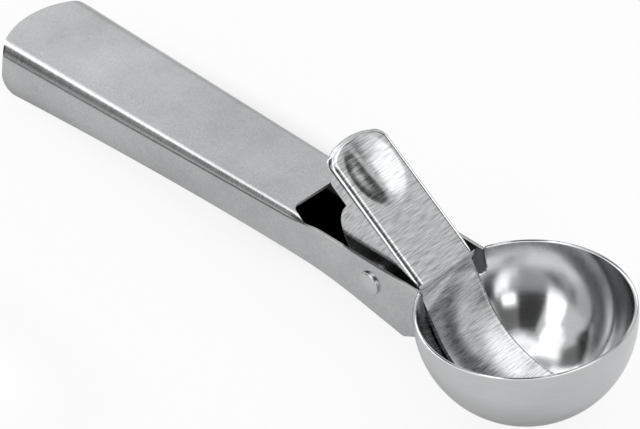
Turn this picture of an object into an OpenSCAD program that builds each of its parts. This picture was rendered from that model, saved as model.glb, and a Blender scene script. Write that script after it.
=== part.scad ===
// Lever ice cream scoop, all stainless steel.
// A handle pressed as a U-channel, open underneath, carries a spun bowl between its two cheeks.
// A lever in one pressing turns on a rivet between the cheeks: its thumb plate stands over the
// handle, its ears go down to the rivet, and its blade lies in the bowl. Pressing the plate back
// towards the handle lifts the blade through the bowl. A torsion spring brings it back.
//
// Every piece is drawn with the bowl's rim level: the rim's centre is the origin, +X points from
// the handle to the bowl. at_rest() then tips the scoop on to its bowl and the handle's two feet.

/* [Bowl] */
// Outer diameter of the bowl
bowl_d = 50.8; // [49.6:0.2:54]
// Thickness of the bowl's wall
bowl_wall = 0.9; // [0.7:0.1:1.3]
// Height of the rim above the centre of the bowl's ball
rim_rise = 2; // [1.4:0.1:2.6]
// Thickness of the round rim
rim_d = 1.1; // [1:0.1:1.4]
// Depth of the notch that lets the lever into the bowl
notch_depth = 6.8; // [6.4:0.1:7.5]
// Radius of the notch's lower corners
notch_corner_r = 1.2; // [0.6:0.1:1.6]

/* [Handle] */
// Thickness of the handle's sheet
handle_sheet = 0.8; // [0.6:0.1:1]
// Length of the handle from the centre of the bowl to its rear tip
handle_length = 171.2; // [155:0.1:190]
// Width over the cheeks
neck_w = 21.9; // [21.7:0.1:24]
// Width at the rear
tail_w = 29.6; // [25:0.1:34]
// Distance from the centre of the bowl to where the cheeks start and the handle widens
neck_x = 57; // [55:0.5:60]
// Height of the top face above the rim where the cheeks start
neck_top = 1.2; // [0.6:0.1:1.8]
// Slope at which the top face rises towards the rear, degrees
top_slope = 3.5; // [2.5:0.1:4.5]
// Outer radius of the top bends at the cheeks
neck_bend_r = 1.7; // [1.3:0.1:2.2]
// Outer radius of the top bends at the rear
tail_bend_r = 3.8; // [2.5:0.1:4.5]
// Distance of the lower edge below the rim at the rear
tail_drop = 5.3; // [4:0.1:7]
// Distance of the lower edge below the rim where it starts to dip
dip_drop = 10.1; // [9.6:0.1:11]
// Distance of the lower edge below the rim at its front corner
cheek_drop = 16.9; // [15.6:0.1:18]
// Distance from the centre of the bowl to the lower edge's front corner
cheek_corner_x = 29.4; // [28:0.1:31]
// Distance from the centre of the bowl to the front edge of the top face
window_x = 66.2; // [64:0.1:70]
// Radius of the window's rear corners
window_corner_r = 2.6; // [1:0.1:4]
// Radius of the rounded rear end, seen from above
end_r = 20; // [18:0.5:26]
// Lean of the rear end away from upright, degrees
end_lean = 15.5; // [10:0.5:18]
// Radius of the two lower rear corners, on which the handle rests
foot_r = 4; // [2.5:0.1:5]

/* [Lever] */
// Thickness of the lever's sheet
lever_sheet = 0.8; // [0.6:0.1:1]
// Width over the thumb plate and its ears
plate_w = 17.4; // [16:0.1:17.6]
// Length of the thumb plate from the ridge to its end
plate_length = 36.8; // [33:0.1:41]
// Slope of the thumb plate, degrees
plate_angle = 40.5; // [38:0.5:43]
// Distance from the centre of the bowl's ball to the plane of the thumb plate
plate_offset = 16; // [15.6:0.1:16.4]
// Outer radius of the bends round the thumb plate
plate_bend_r = 1.6; // [1.2:0.1:1.9]
// Depth of the flanges along the sides of the thumb plate
flange_depth = 4.7; // [4:0.1:5.4]
// Depth of the lip round the end of the thumb plate
lip_depth = 2.4; // [2:0.1:3]
// Radius of the thumb plate's end
plate_end_r = 14; // [12:0.5:18]
// Radius of the thumb plate's two end corners
plate_corner_r = 4; // [3:0.1:5]
// Radius of the ridge between the thumb plate and the blade
ridge_r = 9.5; // [8:0.5:10]
// Width of the blade
blade_w = 18.2; // [17.7:0.1:18.8]
// Angle from straight below the ball's centre to the middle of the blade's round tip, degrees
blade_tip_angle = 6; // [-5:1:20]
// Gap between the blade's edges and the bowl
blade_gap = 0.5; // [0.45:0.05:0.8]

/* [Ears] */
// Radius of the ears round the pivot
ear_pivot_r = 5.2; // [4.6:0.1:5.8]
// Radius of the ears' rear lobe
ear_lobe_r = 8.8; // [8:0.1:9.4]
// Distance of the lobe's centre along the thumb plate from the ridge
ear_lobe_along = 15; // [14:0.1:16]
// Distance of the lobe's centre below the thumb plate
ear_lobe_below = 5.3; // [4.9:0.1:5.8]
// Radius of the ears' toe under the ridge
ear_toe_r = 2.2; // [1.8:0.1:2.6]

/* [Pivot] */
// Distance from the centre of the bowl back to the pivot
pivot_x = 39.2; // [38.5:0.1:40]
// Distance of the pivot below the rim
pivot_drop = 6.1; // [5.6:0.1:6.6]
// Diameter of the rivet's shank
rivet_d = 3; // [2.6:0.1:3.4]
// Diameter of the rivet's domed head
rivet_head_d = 6; // [5.4:0.1:7]
// Height of the rivet's domed head
rivet_head_h = 1.4; // [1:0.1:1.8]
// Diameter of the rivet's peened tail
rivet_tail_d = 4.8; // [4.4:0.1:5.2]
// Height of the rivet's peened tail
rivet_tail_h = 0.9; // [0.6:0.1:1.2]
// Diameter of the washer under the peened tail
tail_washer_d = 7; // [6:0.1:8]
// Thickness of the washer under the peened tail
tail_washer_t = 0.6; // [0.4:0.1:1]
// Wall of the sleeve that spaces the cheeks
sleeve_wall = 0.75; // [0.5:0.05:0.8]
// Diameter of the washers between the ears and the cheeks
ear_washer_d = 8; // [7:0.1:9]
// Radial clearance of each part that turns or slides on the rivet or the sleeve
pivot_fit = 0.05; // [0.03:0.01:0.08]
// Side clearance of each ear
ear_clearance = 0.3; // [0.2:0.05:0.4]

/* [Spring] */
// Diameter of the spring's wire
wire_d = 0.8; // [0.6:0.1:0.9]
// Inner diameter of the spring's coil
coil_in_d = 5.8; // [5.4:0.1:6.4]
// Turns in the coil, besides the part turn between its legs
coil_turns = 4; // [3:1:6]
// Space between neighbouring turns
coil_space = 0.1; // [0.05:0.05:0.3]
// Distance of the lever leg's tip along the thumb plate from the ridge
leg_tip_along = 12.5; // [10:0.5:15]
// Distance of the bowl leg's tip below the rim
leg_tip_drop = 9.6; // [9:0.1:11]

/* [Welds] */
// Radius of the weld beads between the cheeks and the bowl
weld_r = 1.1; // [0.8:0.1:1.5]
// Length of each weld bead
weld_length = 5; // [3:0.5:6]
// Gap closed by the welds between the cheeks' front edges and the bowl
weld_gap = 0.05; // [0.02:0.01:0.1]

/* [Hidden] */
// Facets of round shapes, of the handle's bends, and of the spring's wire and its turns
$fn = 96;
hull_fn = 32;
wire_sides = 8;
turn_steps = 16;
curve_steps = 8;
// Thickness of the sections between which the handle's block is spanned
slab_t = 0.5;
// Overlap that joins the flat of the thumb plate to what bends down from it
join = 0.5;
// How far inside two round shapes' tangents the area between them is kept, to meet both cleanly
hair = 0.01;
// Clearance between the spring's legs and what they press on
leg_clearance = 0.1;
// Lower edge of the handle: how far behind the cheeks' start it dips, how far in front of that
// it runs straight, and its slopes
dip_behind = 5;
straight_before = 13;
tail_edge_angle = 0.6;
dip_edge_angle = 5.5;
cheek_edge_angle = 14;
cheek_end_angle = 27;
cheek_corner_r = 1.5;
foot_back = 8.2;
// How far the window's sides run before they meet the cheeks' inner faces
window_flare = 4;
// Angle from the notch's floor to the start of each weld bead, about the ball's centre, degrees
weld_inset = 1.5;

// Height that clears the scoop's pieces above or below the rim, and the length of a long cut
clear_h = bowl_d;
long_cut = 2 * handle_length;

bowl_r = bowl_d / 2;
bowl_in_r = bowl_r - bowl_wall;
ball = [0, -rim_rise];
cheek_in = neck_w / 2 - handle_sheet;
plate_half = plate_w / 2;
pivot = [-pivot_x, -pivot_drop];

// Handle: ends of the lower edge's curves, top face, and the values that stand it on the table
dip_x = neck_x + dip_behind;
straight_x = neck_x - straight_before;
tail_x = -handle_length;
tail_top = top_z(tail_x);
foot = [tail_x + foot_back, foot_r - tail_drop];
rest_pitch = asin((bowl_r - foot_r) / norm(foot - ball)) + atan2(foot[1] - ball[1], -foot[0]);
lift = bowl_r - ball[1] * cos(rest_pitch);
front_reach = bowl_r - ball[1] * sin(rest_pitch);
rear_reach = (handle_length + handle_sheet * tan(end_lean)) * cos(rest_pitch)
    + (tail_top - handle_sheet) * sin(rest_pitch);
middle_x = (front_reach - rear_reach) / 2;

// Blade: a strip of a ball's shell, whose centre is the bowl's
blade_out_r = bowl_in_r - blade_gap;
blade_in_r = blade_out_r - lever_sheet;

// Ridge: a fillet between the plate's top face and the inside of the blade, round the plate's
// normal through the ball's centre. Places along the plate are counted from that normal.
ridge_along = sqrt(pow(blade_in_r + ridge_r, 2) - pow(plate_offset + ridge_r, 2));
ridge_turn = atan2(ridge_along, plate_offset + ridge_r);
ridge_side = sqrt(pow(ridge_along, 2) - pow(plate_half, 2));

// Thumb plate's end: an arc between two corners, whose centres lie behind the arc's own
corner_half = plate_half - plate_corner_r;
corner_back = sqrt(pow(plate_end_r - plate_corner_r, 2) - pow(corner_half, 2));
end_sweep = asin(corner_half / (plate_end_r - plate_corner_r));
end_centre_along = ridge_along + plate_length - plate_end_r;
corner_along = end_centre_along + corner_back;

// Ears, seen from the side in the plate's frame: x from the centre of the end's arc, z its depth
ear_lobe = [behind_end(ridge_along + ear_lobe_along), -ear_lobe_below];
ear_toe = [behind_end(ridge_side), -ear_toe_r - lever_sheet / 2];
ear_pivot = [
    end_centre_along + (pivot[0] - ball[0]) * cos(plate_angle) - (pivot[1] - ball[1]) * sin(plate_angle),
    plate_offset + (pivot[0] - ball[0]) * sin(plate_angle) + (pivot[1] - ball[1]) * cos(plate_angle)
];

sleeve_in_r = rivet_d / 2 + pivot_fit;
sleeve_r = sleeve_in_r + sleeve_wall;
ear_washer_t = cheek_in - plate_half - ear_clearance;

coil_r = (coil_in_d + wire_d) / 2;
coil_pitch = wire_d + coil_space;
bowl_leg_tip = [
    -sqrt(pow(bowl_r + wire_d / 2 + leg_clearance, 2) - pow(rim_rise - leg_tip_drop, 2)),
    -leg_tip_drop
];
lever_leg_tip = plate_point(ridge_along + leg_tip_along, lever_sheet + wire_d / 2 + leg_clearance);
bowl_leg_angle = line_angle(pivot, bowl_leg_tip) + acos(coil_r / norm(bowl_leg_tip - pivot));
lever_leg_angle = line_angle(pivot, lever_leg_tip) - acos(coil_r / norm(lever_leg_tip - pivot))
    + 360 * (coil_turns + 1);

// Height of the handle's top face at x
function top_z(x) = neck_top + (-neck_x - x) * tan(top_slope);

// Half the handle's width, and its bend radius, at x
function tail_share(x) = (-neck_x - x) / (handle_length - neck_x);
function half_w(x) = (neck_w + (tail_w - neck_w) * tail_share(x)) / 2;
function bend_r(x) = neck_bend_r + (tail_bend_r - neck_bend_r) * tail_share(x);

// Point [x, z] at a place along the thumb plate and a depth below its top face
function plate_point(along, below) = [
    -along * cos(plate_angle) - (plate_offset + below) * sin(plate_angle),
    along * sin(plate_angle) - (plate_offset + below) * cos(plate_angle) - rim_rise
];

// Place along the thumb plate, counted from the centre of its end's arc
function behind_end(along) = end_centre_along - along;

// Direction from p to q
function line_angle(p, q) = atan2(q[1] - p[1], q[0] - p[0]);

// Point where the line through p at angle a meets the line through q at angle b
function meet(p, a, q, b) =
    let (t = ((q[0] - p[0]) * sin(b) - (q[1] - p[1]) * cos(b)) / sin(b - a))
    p + t * [cos(a), sin(a)];

// Curve from p to q that leaves and arrives along the lines to c
function curve(p, c, q) = [
    for (i = [0 : curve_steps])
    let (t = i / curve_steps)
    pow(1 - t, 2) * p + 2 * t * (1 - t) * c + pow(t, 2) * q
];

// Lower edge of the handle, from the rear to the cheeks' front corner
function lower_edge() =
    let (
        tail = [foot[0], -tail_drop],
        dip = [-dip_x, -dip_drop],
        corner = [-cheek_corner_x, -cheek_drop],
        straight = corner + (straight_x - cheek_corner_x) * [-1, tan(cheek_edge_angle)]
    )
    concat(
        curve(tail, meet(tail, -tail_edge_angle, dip, -dip_edge_angle), dip),
        curve(dip, meet(dip, -dip_edge_angle, straight, -cheek_edge_angle), straight)
    );

// Tips the level scoop into the way it rests on a table
module at_rest() {
    translate([-middle_x, 0, lift])
        rotate([0, -rest_pitch, 0])
            children();
}

// Extrudes a side view [x, z] to a width across Y, centred on y
module across(width, y = 0) {
    translate([0, y, 0])
        rotate([90, 0, 0])
            linear_extrude(width, center = true)
                children();
}

// Wedge of a flat ring or disc about the origin, between two angles less than 180 degrees apart
module ring_sector(outer, inner, from, to) {
    middle = (from + to) / 2;
    far = 2 * outer;
    intersection() {
        difference() {
            circle(outer);
            if (inner > 0) circle(inner);
        }
        polygon([
            [0, 0],
            far * [cos(from), sin(from)],
            far * [cos(middle), sin(middle)],
            far * [cos(to), sin(to)]
        ]);
    }
}

// Two circles and the area between their outer tangents
module belt(p, r, q, s) {
    way = line_angle(p, q);
    lean = acos((r - s) / norm(q - p));
    left = [cos(way + lean), sin(way + lean)];
    right = [cos(way - lean), sin(way - lean)];
    translate(p) circle(r);
    translate(q) circle(s);
    polygon([
        p + (r - hair) * left,
        p + (r - hair) * right,
        q + (s - hair) * right,
        q + (s - hair) * left
    ]);
}

// ---------------------------------------------------------------------------------------- bowl

// Half section of the bowl about its ball's centre, with a round rim
module bowl_section() {
    mid_r = bowl_r - bowl_wall / 2;
    rim_angle = asin((rim_rise - rim_d / 2) / mid_r);
    ring_sector(bowl_r, bowl_in_r, -90, rim_angle);
    translate(mid_r * [cos(rim_angle), sin(rim_angle)]) circle(d = rim_d);
}

module notch_outline() {
    low = -notch_depth + notch_corner_r;
    inner_w = 2 * (cheek_in - notch_corner_r);
    translate([-cheek_in, low]) square([2 * cheek_in, notch_depth]);
    translate([-inner_w / 2, -notch_depth]) square([inner_w, notch_depth]);
    for (side = [-1, 1]) {
        translate([side * inner_w / 2, low]) circle(notch_corner_r);
    }
}

module bowl() {
    color("gainsboro")
        at_rest()
            difference() {
                translate([0, 0, -rim_rise])
                    rotate_extrude()
                        bowl_section();
                translate([-2 * bowl_r, 0, 0])
                    rotate([90, 0, 90])
                        linear_extrude(2 * bowl_r)
                            notch_outline();
            }
}

// -------------------------------------------------------------------------------------- handle

// Section across the channel at x, less an inset, as a thin slab that reaches forward
module channel_slab(x, inset) {
    wall_y = half_w(x) - inset;
    bend_y = half_w(x) - bend_r(x);
    bend_z = top_z(x) - bend_r(x);
    translate([x, 0, 0])
        rotate([90, 0, 90])
            linear_extrude(slab_t) {
                translate([-wall_y, -clear_h]) square([2 * wall_y, clear_h + bend_z]);
                translate([-bend_y, 0]) square([2 * bend_y, top_z(x) - inset]);
                for (side = [-1, 1]) {
                    translate([side * bend_y, bend_z]) circle(bend_r(x) - inset, $fn = hull_fn);
                }
            }
}

// Solid between the rear and the cheeks, as wide and high as the channel less an inset
module channel_block(inset) {
    hull() {
        channel_slab(tail_x - end_r, inset);
        channel_slab(-neck_x - slab_t, inset);
    }
}

// Side view of the whole handle; its top is left to the channel and the cheeks
module side_outline() {
    corner = [-cheek_corner_x, -cheek_drop];
    corner_lean = (cheek_end_angle - cheek_edge_angle) / 2;
    corner_turn = (cheek_end_angle + cheek_edge_angle) / 2;
    corner_mid = corner
        + cheek_corner_r / cos(corner_turn) * [-sin(corner_lean), cos(corner_lean)];
    polygon(concat(
        [[tail_x - end_r, foot[1]], [foot[0] - foot_r, foot[1]], foot],
        lower_edge(),
        [
            corner_mid - cheek_corner_r * [sin(cheek_edge_angle), cos(cheek_edge_angle)],
            corner_mid,
            corner_mid + cheek_corner_r * [sin(cheek_end_angle), -cos(cheek_end_angle)],
            corner + cheek_corner_x * [1, tan(cheek_end_angle)],
            [0, clear_h],
            [tail_x - end_r, clear_h]
        ]
    ));
    translate(foot) circle(foot_r);
    translate(corner_mid) circle(cheek_corner_r);
}

// Everything in front of the rounded, leaning rear end
module end_block() {
    translate([tail_x + end_r / cos(end_lean), 0, tail_top])
        rotate([0, end_lean, 0]) {
            cylinder(r = end_r, h = long_cut, center = true);
            translate([0, -end_r, -long_cut / 2]) cube([long_cut, 2 * end_r, long_cut]);
        }
}

// Window in the top face, seen from above: round rear corners, then flaring to the cheeks
module window_outline() {
    rear_half = half_w(-window_x) - bend_r(-window_x);
    polygon([
        [-window_x, -rear_half + window_corner_r],
        [-window_x, rear_half - window_corner_r],
        [-window_x + window_corner_r, rear_half],
        [-window_x + window_corner_r + window_flare, cheek_in],
        [0, cheek_in],
        [0, -cheek_in],
        [-window_x + window_corner_r + window_flare, -cheek_in],
        [-window_x + window_corner_r, -rear_half]
    ]);
    for (side = [-1, 1]) {
        translate([-window_x + window_corner_r, side * (rear_half - window_corner_r)])
            circle(window_corner_r);
    }
}

module handle() {
    color("silver")
        at_rest()
            difference() {
                intersection() {
                    union() {
                        difference() {
                            channel_block(0);
                            channel_block(handle_sheet);
                        }
                        for (side = [-1, 1]) {
                            across(handle_sheet, side * (cheek_in + handle_sheet / 2))
                                polygon([
                                    [-neck_x, top_z(-neck_x)],
                                    [-neck_x, -clear_h],
                                    [0, -clear_h],
                                    [0, top_z(0)]
                                ]);
                        }
                    }
                    across(2 * tail_w) side_outline();
                    end_block();
                }
                linear_extrude(2 * clear_h, center = true)
                    window_outline();
                translate([0, 0, -rim_rise]) sphere(bowl_r + weld_gap);
                across(2 * neck_w) translate(pivot) circle(rivet_d / 2 + pivot_fit);
            }
}

// Bead inside the corner between the cheek on one side, -1 near or 1 far, and the bowl
module weld_bead(side) {
    corner_r = sqrt(pow(bowl_r + weld_gap, 2) - pow(cheek_in, 2));
    first = asin((notch_depth - rim_rise) / corner_r) + weld_inset;
    translate([0, 0, -rim_rise])
        rotate([90, 0, 0])
            rotate([0, 0, 180 + first])
                rotate_extrude(angle = weld_length / corner_r * 180 / PI)
                    difference() {
                        translate([corner_r, -side * cheek_in]) circle(weld_r);
                        circle(bowl_r);
                        translate([0, side < 0 ? cheek_in : -2 * cheek_in])
                            square([2 * bowl_r, cheek_in]);
                    }
}

module near_weld() {
    color("darkgray")
        at_rest()
            weld_bead(-1);
}

module far_weld() {
    color("darkgray")
        at_rest()
            weld_bead(1);
}

// --------------------------------------------------------------------------------------- lever

// Puts what is drawn on a level plate on to the sloping one: x = -along, z = 0 at its top face
module on_plate() {
    translate([0, 0, -rim_rise])
        rotate([0, plate_angle, 0])
            translate([0, 0, -plate_offset])
                children();
}

// Section of the bend along the plate's edge, which starts level at its centre line x = 0
module bend_section() {
    translate([0, -plate_bend_r])
        ring_sector(plate_bend_r, plate_bend_r - lever_sheet, 0, 90);
    translate([-join, -lever_sheet]) square([join, lever_sheet]);
}

// Section of the lip round the plate's end, for a given outer radius in plan
module lip_section(outer) {
    translate([outer - plate_bend_r, 0]) bend_section();
    translate([outer - lever_sheet, -lip_depth]) square([lever_sheet, lip_depth - plate_bend_r]);
}

// The flat of the thumb plate, inside its bends
module plate_flat() {
    flat_half = plate_half - plate_bend_r;
    difference() {
        translate([-corner_back, -flat_half])
            square([corner_along - ridge_side, 2 * flat_half]);
        translate([end_centre_along, 0]) circle(ridge_along);
    }
    ring_sector(plate_end_r - plate_bend_r, 0, 180 - end_sweep, 180 + end_sweep);
    for (side = [-1, 1]) {
        translate([-corner_back, side * corner_half]) circle(plate_corner_r - plate_bend_r);
    }
}

// One side of the thumb plate's bend: along the flange, round the corner and to the end's middle
module plate_bend() {
    translate([-corner_back, plate_half - plate_bend_r, 0])
        rotate([90, 0, 90])
            linear_extrude(corner_along - ridge_side)
                bend_section();
    translate([-corner_back, corner_half, 0])
        rotate([0, 0, 90])
            rotate_extrude(angle = 90 - end_sweep)
                lip_section(plate_corner_r);
    rotate([0, 0, 180 - end_sweep])
        rotate_extrude(angle = end_sweep)
            lip_section(plate_end_r);
}

// Side view of a flange and its ear, kept below the bend at the plate's edge
module ear_outline() {
    step_r = flange_depth - lip_depth;
    front = behind_end(ridge_side);
    intersection() {
        union() {
            belt(ear_lobe, ear_lobe_r, ear_pivot, ear_pivot_r);
            belt(ear_pivot, ear_pivot_r, ear_toe, ear_toe_r);
            belt(ear_lobe, ear_lobe_r, ear_toe, ear_toe_r);
            polygon([ear_lobe, ear_pivot, ear_toe]);
        }
        polygon([
            [-corner_back, -plate_bend_r],
            [front, -plate_bend_r],
            [front, -lever_sheet / 2],
            [front + 2 * ear_toe_r, -1.5 * lever_sheet],
            [front + 2 * ear_toe_r, -clear_h],
            [-corner_back, -clear_h]
        ]);
    }
    polygon([
        [front, -plate_bend_r],
        [-corner_back, -plate_bend_r],
        [-corner_back, -lip_depth],
        [step_r - corner_back, -lip_depth],
        [step_r - corner_back, -flange_depth],
        [ear_lobe[0], -flange_depth]
    ]);
    translate([step_r - corner_back, -lip_depth]) circle(step_r);
}

module thumb_plate() {
    on_plate()
        translate([-end_centre_along, 0, 0]) {
            translate([0, 0, -lever_sheet]) linear_extrude(lever_sheet) plate_flat();
            plate_bend();
            mirror([0, 1, 0]) plate_bend();
            for (side = [-1, 1]) {
                across(lever_sheet, side * (plate_half - lever_sheet / 2)) ear_outline();
            }
        }
}

// Section from the plate's flat over the ridge to the bottom of the shell, beside the plate's
// normal: the shell and the ridge meet on the line between their centres, here turned upright
module ridge_section() {
    intersection() {
        translate([0, plate_offset])
            rotate(ridge_turn) {
                ring_sector(blade_out_r, blade_in_r, -180, -90);
                translate([0, -blade_in_r - ridge_r])
                    ring_sector(ridge_r, ridge_r - lever_sheet, 0, 90);
            }
        translate([0, -clear_h]) square([ridge_along, 2 * clear_h]);
    }
    translate([ridge_along, -lever_sheet]) square([join, lever_sheet]);
}

// The ridge and the ball's shell that it runs into, before they are cut to the blade's width
module ridge_and_shell() {
    on_plate() {
        rotate([0, 0, 90])
            rotate_extrude(angle = 180)
                ridge_section();
        rotate([0, 0, -90])
            rotate_extrude(angle = 180)
                translate([0, plate_offset])
                    ring_sector(blade_out_r, blade_in_r, -90, 0);
    }
}

// The ridge and the blade, cut to the blade's width and its round tip
module blade() {
    intersection() {
        ridge_and_shell();
        union() {
            across(blade_w)
                translate(ball)
                    ring_sector(2 * clear_h, 0, 180 - plate_angle, 270 + blade_tip_angle);
            translate([0, 0, -rim_rise])
                rotate([0, 180 - blade_tip_angle, 0])
                    cylinder(d = blade_w, h = clear_h);
        }
    }
}

module lever() {
    color("lightgray")
        at_rest()
            difference() {
                union() {
                    thumb_plate();
                    blade();
                }
                across(2 * plate_w) translate(pivot) circle(sleeve_r + pivot_fit);
            }
}

// --------------------------------------------------------------------------------------- pivot

// Turns what is drawn upright on the origin on to the pivot, with +Z pointing to the far side
module on_pivot(y = 0) {
    translate([pivot[0], y, pivot[1]])
        rotate([-90, 0, 0])
            children();
}

// Cap of a ball, of a given base diameter and height, standing on the origin
module dome(d, h) {
    ball_r = (pow(d / 2, 2) + pow(h, 2)) / (2 * h);
    intersection() {
        translate([0, 0, h - ball_r]) sphere(ball_r);
        cylinder(d = 2 * d, h = h);
    }
}

module pivot_rivet() {
    tail_y = neck_w / 2 + tail_washer_t;
    color("whitesmoke")
        at_rest() {
            on_pivot(-neck_w / 2) {
                cylinder(d = rivet_d, h = neck_w / 2 + tail_y);
                mirror([0, 0, 1]) dome(rivet_head_d, rivet_head_h);
            }
            on_pivot(tail_y) dome(rivet_tail_d, rivet_tail_h);
        }
}

module washer(d, hole_r, t) {
    difference() {
        cylinder(d = d, h = t);
        translate([0, 0, -t]) cylinder(r = hole_r, h = 3 * t);
    }
}

module tail_washer() {
    color("silver")
        at_rest()
            on_pivot(neck_w / 2)
                washer(tail_washer_d, rivet_d / 2 + pivot_fit, tail_washer_t);
}

module pivot_sleeve() {
    color("gray")
        at_rest()
            on_pivot(-cheek_in)
                washer(2 * sleeve_r, sleeve_in_r, 2 * cheek_in);
}

module near_ear_washer() {
    color("dimgray")
        at_rest()
            on_pivot(-cheek_in)
                washer(ear_washer_d, sleeve_r + pivot_fit, ear_washer_t);
}

module far_ear_washer() {
    color("dimgray")
        at_rest()
            on_pivot(cheek_in - ear_washer_t)
                washer(ear_washer_d, sleeve_r + pivot_fit, ear_washer_t);
}

// -------------------------------------------------------------------------------------- spring

// Centre line of the wire, from the tip on the bowl round the coil to the tip on the lever
function spring_path() =
    let (
        steps = ceil((lever_leg_angle - bowl_leg_angle) / 360 * turn_steps),
        width = coil_pitch * (lever_leg_angle - bowl_leg_angle) / 360
    )
    concat(
        [[bowl_leg_tip[0], -width / 2, bowl_leg_tip[1]]],
        [
            for (i = [0 : steps])
            let (a = bowl_leg_angle + (lever_leg_angle - bowl_leg_angle) * i / steps)
            [pivot[0] + coil_r * cos(a), width * (i / steps - 0.5), pivot[1] + coil_r * sin(a)]
        ],
        [[lever_leg_tip[0], width / 2, lever_leg_tip[1]]]
    );

// Unit vector along v
function unit(v) = v / norm(v);

// Round tube swept along a path that stays nearly square to Y
module wire(path) {
    last = len(path) - 1;
    points = [
        for (i = [0 : last])
        let (
            along = unit(path[min(i + 1, last)] - path[max(i - 1, 0)]),
            out = unit(cross(along, [0, 1, 0])),
            side = cross(out, along)
        )
        for (k = [0 : wire_sides - 1])
        path[i] + wire_d / 2 * (cos(360 * k / wire_sides) * out + sin(360 * k / wire_sides) * side)
    ];
    walls = [
        for (i = [0 : last - 1])
        for (k = [0 : wire_sides - 1])
        let (
            here = i * wire_sides,
            next = here + wire_sides,
            m = (k + 1) % wire_sides
        )
        [here + k, here + m, next + m, next + k]
    ];
    caps = [
        [for (k = [wire_sides - 1 : -1 : 0]) k],
        [for (k = [0 : wire_sides - 1]) last * wire_sides + k]
    ];
    polyhedron(points, concat(walls, caps));
}

module return_spring() {
    color("slategray")
        at_rest()
            wire(spring_path());
}

handle();
bowl();
near_weld();
far_weld();
lever();
pivot_rivet();
tail_washer();
pivot_sleeve();
near_ear_washer();
far_ear_washer();
return_spring();
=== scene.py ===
"""Lever ice cream scoop, all stainless steel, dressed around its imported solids.

Lengths are in millimetres and in the rim frame, where the rim's centre is the origin and the rim
is level, until stand() puts them in metres on the table.
"""
import math
import bmesh
import bpy
import numpy as np
from mathutils import Matrix, Vector


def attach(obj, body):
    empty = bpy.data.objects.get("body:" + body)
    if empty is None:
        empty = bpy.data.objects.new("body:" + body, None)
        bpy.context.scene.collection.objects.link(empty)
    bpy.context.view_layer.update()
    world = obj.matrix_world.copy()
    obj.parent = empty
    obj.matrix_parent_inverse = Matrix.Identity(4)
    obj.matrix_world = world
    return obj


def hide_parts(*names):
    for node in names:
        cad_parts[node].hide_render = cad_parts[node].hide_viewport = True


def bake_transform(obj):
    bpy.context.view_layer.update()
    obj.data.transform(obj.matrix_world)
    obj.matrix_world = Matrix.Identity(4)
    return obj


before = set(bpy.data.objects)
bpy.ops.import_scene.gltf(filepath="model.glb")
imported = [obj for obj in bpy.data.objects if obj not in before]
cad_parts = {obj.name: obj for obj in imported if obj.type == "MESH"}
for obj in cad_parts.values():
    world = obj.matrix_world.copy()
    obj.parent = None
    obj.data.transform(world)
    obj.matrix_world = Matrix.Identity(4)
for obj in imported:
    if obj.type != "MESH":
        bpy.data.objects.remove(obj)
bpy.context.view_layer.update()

# ------------------------------------------------------------------------------------- resting place
# The scoop rests on the bottom of its bowl and on the two lower corners at the handle's rear end,
# so the rim, level in the drawing, is tipped a little towards the handle.

BOWL_R = 25.4
RIM_RISE = 2.0
SHEET = 0.8
HANDLE_LENGTH = 171.2
FOOT = np.array([-163.0, -1.3])
FOOT_R = 4.0
END_LEAN = math.radians(15.5)
NECK_X = 57.0
NECK_TOP = 1.2
TOP_SLOPE = math.radians(3.5)


def top_z(x):
    """Height of the handle's top face: its height at the neck plus the slope times the way back."""
    return NECK_TOP + (-NECK_X - x) * math.tan(TOP_SLOPE)


TAIL_TOP = top_z(-HANDLE_LENGTH)
REST_PITCH = (math.asin((BOWL_R - FOOT_R) / math.hypot(FOOT[0], FOOT[1] + RIM_RISE))
              + math.atan2(FOOT[1] + RIM_RISE, -FOOT[0]))
LIFT = BOWL_R + RIM_RISE * math.cos(REST_PITCH)
FRONT_REACH = BOWL_R + RIM_RISE * math.sin(REST_PITCH)
REAR_REACH = ((HANDLE_LENGTH + SHEET * math.tan(END_LEAN)) * math.cos(REST_PITCH)
              + (TAIL_TOP - SHEET) * math.sin(REST_PITCH))
MIDDLE_X = (FRONT_REACH - REAR_REACH) / 2
TIP = np.array([[math.cos(REST_PITCH), 0, -math.sin(REST_PITCH)],
                [0, 1, 0],
                [math.sin(REST_PITCH), 0, math.cos(REST_PITCH)]])


def stand(points):
    """Rim frame in mm to table in metres: turned by the rest pitch about Y, then moved."""
    return (np.asarray(points, float) @ TIP.T + [-MIDDLE_X, 0, LIFT]) / 1000


# ------------------------------------------------------------------------------------------- handle
# A U-channel pressed from one blank of 0.8 mm stainless sheet, open underneath and at its rear end.
# Its cheeks run on past the window in its top and are welded to the bowl. The outside is satin
# brushed across, and the inside keeps the duller skin that the sheet has from the mill, coloured darker
# still as painted shade inside the channel.

HANDLE_TINT = "BCBDBE"
# The inside's tint is darker than the steel. Part of that is the mill skin and part is painted shade
# inside the channel.
INSIDE_TINT_AND_SHADE = "77787A"
NECK_W = 21.9
TAIL_W = 29.6
FLARE_START = 6.0
NECK_BEND_R = 1.7
TAIL_BEND_R = 3.8
BEND_FADE = (-65.5, -55.5)
BEND_LOSS = 0.9
BOWL_SEAT_R = 25.45
CHEEK_CORNER = np.array([-29.4, -16.9])
CHEEK_CORNER_R = 1.5
CHEEK_CORNER_SPLIT = 20
CHEEK_EDGE_ANGLE = math.radians(14)
CHEEK_EDGE_LENGTH = 14.6
CHEEK_END_ANGLE = math.radians(27)
CHEEK_SEAT_LOW = -12.7
CHEEK_TOP_X = -23
DIP = np.array([-62.0, -10.1])
DIP_ANGLE = math.radians(-5.5)
TAIL_EDGE_ANGLE = math.radians(-0.6)
END_R = 20.0
WINDOW_X = -66.2
WINDOW_R = 2.6
WINDOW_STRAIGHT = 0.68
BEND_PAST_WINDOW = 4.6
FAR_WALL_FLOW = 80
EDGE_ROUND = 0.12
ROUNDED_ABOVE = 50
SHARP_ABOVE = 40
SAME_POINT = 2e-6
NO_LENGTH = 1e-7
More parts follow.
